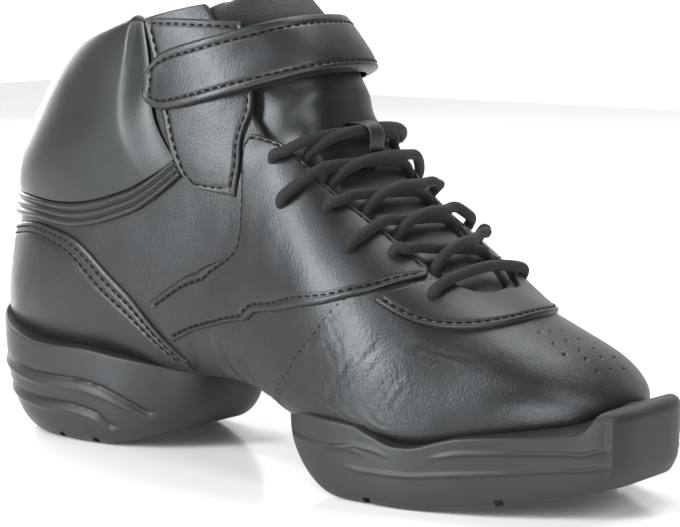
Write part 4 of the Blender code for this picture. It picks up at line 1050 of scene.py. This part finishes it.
def addKeeper():  # a strip that arches over the top crossing, its section a rounded bar
    look = keeperLook
    share = np.linspace(0, 1, look["rows"])
    station = look["from"] + (look["to"] - look["from"]) * share
    normal = lastNormal(station, 0 * station)
    lift = np.sin(np.pi * share) ** 0.55 * look["rise"] - look["seat"]
    line = lastPoint(station, 0 * station) + normal * lift[:, None] * mm
    ahead = unit(np.gradient(line, axis=0))
    across = np.array((0, 1.0, 0)) + 0 * ahead
    up = unit(np.cross(ahead, across))
    angle = np.linspace(0, 2 * np.pi, look["columns"], endpoint=False)
    flat = np.sign(np.cos(angle)) * np.abs(np.cos(angle)) ** 0.35
    tall = np.sign(np.sin(angle)) * np.abs(np.sin(angle)) ** 0.6
    half = (look["width"][0] + (look["width"][1] - look["width"][0]) * share) / 2 * mm
    grid = line[:, None] + across[:, None] * (half[:, None] * flat)[..., None] \
        + up[:, None] * (look["thick"] / 2 * mm * tall)[None, :, None]
    mesh = gridMesh("laceKeeper", grid, closed=True)
    out = looksOut(grid, grid - line[:, None])
    addPiece("laceKeeper", mesh, leathers["trimLeather"], ("lace_keeper",), flip=not out)


# Pods: half lengths, insets and edge heights as shares of the last, half widths by place, the rim's
# height round the outline (0 front, 1 back), ribs as (rise, width, places) and the tread's notches
podLooks = {
    "heelPod": {
        "node": "heel_sole", "centre": 0.175, "behind": 0.218, "ahead": 0.196, "behindPower": 2.3,
        "aheadPower": 2.9, "insetBehind": 0.62, "insetAhead": 0.62, "insetSide": 0.76, "dropPower": 2.4,
        "widths": ((-.04, .41, .40), (.08, .420, .410), (.19, .418, .410), (.30, .400, .360),
                   (.40, .372, .310)),
        "rim": ((0, 1.18), (.09, 1.19), (.24, 1.30), (.35, 1.39), (.47, 1.47), (.59, 1.46),
                (.70, 1.56), (.79, 1.68), (.86, 1.80), (1, 1.86)),
        "crest": ((0, 1.18), (.3, 1.35), (.7, 1.56), (1, 1.86)),
        "ribs": ((-1.3, .9, ((.27, .60), (.35, .44), (.41, .36), (.49, .33), (.70, .32), (1, .34))),
                 (.8, .9, ((.26, .70), (.34, .54), (.41, .45), (.49, .42), (.70, .41), (1, .43))),
                 (-1.2, .9, ((.38, .76), (.43, .64), (.53, .59), (.80, .58), (1, .58))),
                 (.7, .9, ((.38, .84), (.43, .72), (.53, .67), (.80, .66), (1, .66)))),
        "notches": (.140, .205), "bumper": (0, 0), "frontLip": 1.0},
    "forefootPod": {
        "node": "forefoot_sole", "centre": 0.781, "behind": 0.238, "ahead": 0.252, "behindPower": 4.0,
        "aheadPower": 4.5, "insetBehind": 0.74, "insetAhead": 0.95, "insetSide": 0.88, "dropPower": 3.4,
        "widths": ((.58, .500, .450), (.68, .545, .490), (.76, .540, .492), (.84, .498, .462),
                   (.91, .440, .412), (.97, .372, .352), (1.04, .330, .320)),
        "rim": ((0, 1.44), (.09, 1.44), (.125, 1.40), (.17, 1.20), (.21, 1.13), (.32, 1.10),
                (.40, 1.05), (.43, .99), (.49, .86), (.51, .86), (.56, .97), (.60, 1.07),
                (.66, 1.09), (.74, 1.10), (.84, 1.08), (1, 1.04)),
        "crest": ((0, 1.44), (.27, 1.44), (.45, 1.00), (1, 1.04)),
        "ribs": ((.75, .75, ((.115, .66), (.17, .58), (.21, .51), (.32, .50), (.40, .49), (.50, .43),
                              (.58, .54))),
                 (.75, .75, ((.12, .45), (.17, .34), (.21, .25), (.32, .22), (.41, .21))),
                 (.75, .75, ((.55, .17), (.63, .30))),
                 (.7, .9, ((.60, .30), (.70, .34), (.80, .42)))),
        "notches": (.728, .905), "bumper": (.108, 1.0), "frontLip": 3.6},
}
podGrid = {"steps": 170, "levels": 60, "lip": 1.0, "flat": (0.686, 0.785),
           "toeSpring": 10.5, "backLift": 13.0, "heelFlat": 0.210, "heelLift": 6.5,
           "notchWidth": 2.8, "notchDepth": 2.6}
formLook = {"rows": 150, "columns": 150, "to": 16.5, "gap": 0.15}


def floorHeight(x):  # underside: flat under heel and ball, rising at both ends of the forefoot
    pod = podLooks["forefootPod"]
    length = last["length"]
    first, end = podGrid["flat"][0] * length, podGrid["flat"][1] * length
    tip = (pod["centre"] + pod["ahead"] * pod["insetAhead"]) * length
    tail = (pod["centre"] - pod["behind"] * pod["insetBehind"]) * length
    front = podGrid["toeSpring"] * mm * np.clip((x - end) / (tip - end), 0, 1) ** 1.4
    back = podGrid["backLift"] * mm * np.clip((first - x) / (first - tail), 0, 1) ** 1.7
    heelPod = podLooks["heelPod"]
    rest = podGrid["heelFlat"] * length
    edge = (heelPod["centre"] + heelPod["ahead"] * heelPod["insetAhead"]) * length
    heel = podGrid["heelLift"] * mm * np.clip((x - rest) / (edge - rest), 0, 1) ** 1.5
    return np.where(x > pod["centre"] * length / 2, front + back, heel)


# Rings from the rim down to the ground outline: ground + (rim - ground) * (1 - level^p)^(1/p), with
# ribs, grooves and the proud toe bumper as ripples along the outline's normal
def podMesh(name, pod):
    g = podGrid
    turn = np.linspace(0, 1, g["steps"])
    lip = np.linspace(0, 1, 6)[:-1]
    levels = np.r_[np.zeros(len(lip)), np.linspace(0, 1, g["levels"])][:, None]
    rounding = np.r_[lip, np.ones(g["levels"])][:, None] * np.pi / 2
    drop = (1 - levels ** pod["dropPower"]) ** (1 / pod["dropPower"])
    length, middle = last["length"], pod["centre"] * last["length"]
    rings = []
    for sign in (-1, 1):
        share = np.cos(np.pi * turn)
        power = np.where(share > 0, pod["aheadPower"], pod["behindPower"])
        reach = np.where(share > 0, pod["ahead"], pod["behind"]) * length
        x = middle + reach * share
        width = readTable(pod["widths"], 1 if sign < 0 else 2, x / length) * last["ball"]
        y = sign * width * np.clip(1 - np.abs(share) ** power, 0, 1) ** (1 / power)
        rim = readTable(pod["rim"], 1, turn) * last["stand"]
        lowX = middle + (x - middle) * np.where(x > middle, pod["insetAhead"], pod["insetBehind"])
        lowY = y * pod["insetSide"]
        ground = floorHeight(lowX)
        height = rim - ground
        lipSize = g["lip"] + (pod["frontLip"] - g["lip"]) * softStep((0.17 - turn) / 0.09)
        ripple = -lipSize * mm * (1 - np.sin(rounding)) + 0 * levels * turn
        for rise, wide, line in pod["ribs"]:
            at = readTable(line, 1, turn)
            fade = softStep((turn - line[0][0] + 0.04) / 0.05) * softStep((line[-1][0] + 0.05 - turn) / 0.06)
            gap = (levels - at) * height / (wide * mm)
            ripple = ripple + rise * mm * fade * np.exp(-np.abs(gap) ** 2.6)
        edge, proud = pod["bumper"]
        ripple = ripple + proud * mm * softStep((edge - turn) / 0.014) * softStep((1 - levels) / 0.25)
        outX = np.abs(np.gradient(y)) * np.where(x > middle, 1, -1)
        outY = np.abs(np.gradient(x)) * sign
        size = np.maximum(np.hypot(outX, outY), 1e-9)
        z = rim - lipSize * mm * (1 - np.cos(rounding))
        z = np.where(levels > 0, np.minimum(rim - height * levels, rim - lipSize * mm), z)
        rings.append(np.stack([lowX + (x - lowX) * drop + ripple * outX / size,
                               lowY + (y - lowY) * drop + ripple * outY / size, z + 0 * turn], -1))
    right, left = rings
    grid = np.concatenate([right, left[:, -2:0:-1]], 1)
    rows, columns = grid.shape[:2]
    crest = right[0] * (1, 0, 1)
    crest[:, 1] = 0
    crest[:, 2] = readTable(pod["crest"], 1, turn) * last["stand"]
    points = np.concatenate([grid.reshape(-1, 3), crest])
    points[:, 0] -= last["heelRest"] * last["length"]
    first, steps = rows * columns, g["steps"]
    j = np.arange(steps - 1)
    caps = [np.stack([j, j + 1, first + j + 1, first + j], 1),
            np.stack([(columns - j - 1) % columns, (columns - j) % columns, first + j, first + j + 1], 1)]
    base = (rows - 1) * columns
    k = np.arange(columns // 2)
    floor = base + np.stack([k, (columns - k) % columns, (columns - k - 1) % columns, (k + 1) % columns], 1)
    quads = np.concatenate([gridQuads(rows, columns, closed=True), *caps, floor])
    return newMesh(name, points, quads)


def formMesh():  # closed form of the upper, a hair inside its surface, to hollow the pods with
    rows, columns = formLook["rows"], formLook["columns"]
    station = np.linspace(0, formLook["to"], rows)[:, None]
    turn = np.linspace(0, 2, columns, endpoint=False) + 0 * station
    grid = lastPoint(station, turn) - lastNormal(station, turn) * formLook["gap"] * mm
    grid[0] = grid[0].mean(0)
    points = np.concatenate([grid.reshape(-1, 3), grid[-1:].mean(1)])
    lid = rows * columns
    k = np.arange(0, columns, 2)
    base = (rows - 1) * columns
    cap = np.stack([base + k, base + (k + 1) % columns, base + (k + 2) % columns, np.full(len(k), lid)], 1)
    return newMesh("form", points, np.concatenate([gridQuads(rows, columns, closed=True), cap]))


def cleanSolid(mesh):  # doubles merged, faces outwards
    edit = bmesh.new()
    edit.from_mesh(mesh)
    bmesh.ops.remove_doubles(edit, verts=edit.verts, dist=4e-6)
    bmesh.ops.recalc_face_normals(edit, faces=edit.faces)
    if edit.calc_volume(signed=True) < 0:
        bmesh.ops.reverse_faces(edit, faces=edit.faces)
    edit.to_mesh(mesh)
    edit.free()


def looseObject(name, mesh):
    made = bpy.data.objects.new(name, mesh)
    bpy.context.collection.objects.link(made)
    return made


def notchBars(pod):  # boxes across the tread
    points, quads = [], []
    for place in pod["notches"]:
        x = (place - last["heelRest"]) * last["length"]
        top = float(floorHeight(np.array(place * last["length"]))) + podGrid["notchDepth"] * mm
        near, far = x - podGrid["notchWidth"] / 2 * mm, x + podGrid["notchWidth"] / 2 * mm
        start = len(points)
        points += [(px, py, pz) for px in (near, far) for py in (-.09, .09) for pz in (-.01, top)]
        quads += [[start + k for k in loop] for loop in
                  ((0, 1, 3, 2), (4, 6, 7, 5), (0, 4, 5, 1), (2, 3, 7, 6), (0, 2, 6, 4), (1, 5, 7, 3))]
    return newMesh("bars", np.array(points), np.array(quads))


# Each pod with the upper's form and its tread notches cut out of it
def addPods():
    form = formMesh()
    cleanSolid(form)
    cutter = looseObject("podForm", form)
    for name, pod in podLooks.items():
        mesh = podMesh(name, pod)
        cleanSolid(mesh)
        body = looseObject(name + "Raw", mesh)
        bars = notchBars(pod)
        cleanSolid(bars)
        tools = [looseObject(name + "Bars", bars), cutter]
        for tool in tools:
            step = body.modifiers.new(tool.name, "BOOLEAN")
            step.operation = "DIFFERENCE"
            step.solver = "EXACT"
            step.object = tool
        done = bpy.data.meshes.new_from_object(body.evaluated_get(bpy.context.evaluated_depsgraph_get()))
        bpy.data.objects.remove(body, do_unlink=True)
        bpy.data.objects.remove(tools[0], do_unlink=True)
        done.name = name
        done.materials.clear()
        done.polygons.foreach_set("material_index", np.zeros(len(done.polygons), np.int32))
        piece = addPiece(name, done, rubber, (pod["node"],))
        piece.data.shade_smooth()
        piece.data.set_sharp_from_angle(angle=radians(50))
    bpy.data.objects.remove(cutter, do_unlink=True)


addUpper()
print("upper made")
addPanels()
print("panels and stitches made")
addLining()
addInsole()
addCollarPad()
addTongue()
print("soft pieces made")
addStrap()
addLaces()
addKeeper()
print("strap and laces made")
addPods()
print("pods made")

stage = {"floorSize": 3.2, "floorColour": (.93, .93, .93, 1), "floorPale": (.95, .95, .95, 1),
         "floorRough": 0.16, "sweepTowards": (-0.61, 0.79, 0.0), "sweep": (0.15, 0.80, 0.02, 1.15)}


def addStage():
    half = stage["floorSize"] / 2
    points = np.array(((-half, -half, 0), (half, -half, 0), (half, half, 0), (-half, half, 0)), float)
    mesh = newMesh("floor", points, np.array([[0, 1, 2, 3]]))
    material, tree, shader, place = startMaterial("paleFloor")
    haze = noiseNode(tree, place.outputs["Object"], 3.0, 2.0, .5)
    colour = mixColour(tree, haze, stage["floorColour"], stage["floorPale"])
    tree.links.new(colour, shader.inputs["Base Color"])
    shader.inputs["Roughness"].default_value = stage["floorRough"]
    shader.inputs["Specular IOR Level"].default_value = 0.5
    mesh.materials.append(material)
    floor = looseObject("floor", mesh)
    bpy.context.scene.view_settings.view_transform = "Standard"
    addWorld()


# A white sweep behind the shoe and a dimmer room in front: brightness by direction towards the sweep
def addWorld():
    world = bpy.data.worlds.new("studio")
    bpy.context.scene.world = world
    world.use_nodes = True
    tree = world.node_tree
    place = tree.nodes.new("ShaderNodeTexCoord")
    facing = tree.nodes.new("ShaderNodeVectorMath")
    facing.operation = "DOT_PRODUCT"
    facing.inputs[1].default_value = stage["sweepTowards"]
    tree.links.new(place.outputs["Generated"], facing.inputs[0])
    spread = tree.nodes.new("ShaderNodeMapRange")
    spread.interpolation_type = "SMOOTHSTEP"
    for socket, value in zip(("From Min", "From Max", "To Min", "To Max"), stage["sweep"]):
        spread.inputs[socket].default_value = value
    tree.links.new(facing.outputs["Value"], spread.inputs["Value"])
    background = tree.nodes["Background"]
    background.inputs["Color"].default_value = (1, 1, 1, 1)
    tree.links.new(spread.outputs["Result"], background.inputs["Strength"])


lights = (  # place, aim, size, power
    ((-0.44, -1.30, 0.62), (0.05, 0.0, 0.09), (0.32, 1.10), 38),
    ((1.25, -0.25, 0.80), (0.12, 0.0, 0.06), (0.40, 0.8), 8),
    ((-0.05, -0.85, 1.25), (0.13, 0.0, 0.04), (1.1, 0.25), 7),
    ((-1.25, 0.55, 0.50), (-0.02, 0.0, 0.10), (0.5, 0.8), 15),
    ((1.20, -1.00, 0.22), (0.16, 0.0, 0.03), (1.0, 0.26), 13),
    ((0.10, 0.60, 1.50), (0.10, 0.2, 0.0), (1.2, 0.6), 14))


def addLights():
    for n, (place, aim, size, power) in enumerate(lights):
        lamp = bpy.data.lights.new("softbox%d" % n, "AREA")
        lamp.shape = "RECTANGLE"
        lamp.size, lamp.size_y = size
        lamp.energy = power
        holder = bpy.data.objects.new(lamp.name, lamp)
        holder.location = place
        holder.rotation_euler = (Vector(aim) - Vector(place)).to_track_quat("-Z", "Y").to_euler()
        bpy.context.collection.objects.link(holder)


cameraLook = {"sensor": 36, "focalPixels": 2400, "widePixels": 680, "place": (0.6141, -0.6703, 0.1874),
              "down": 7.8, "turned": 37.6}


def addCamera():  # fitted to the outline and the standing line
    look = cameraLook
    lens = bpy.data.cameras.new("camera")
    lens.sensor_width = look["sensor"]
    lens.sensor_fit = "HORIZONTAL"
    lens.lens = look["sensor"] * look["focalPixels"] / look["widePixels"]
    holder = bpy.data.objects.new("camera", lens)
    holder.location = look["place"]
    holder.rotation_euler = (radians(90 - look["down"]), 0, radians(look["turned"]))
    bpy.context.collection.objects.link(holder)
    bpy.context.scene.camera = holder


addStage()
addLights()
addCamera()
print("stage set")
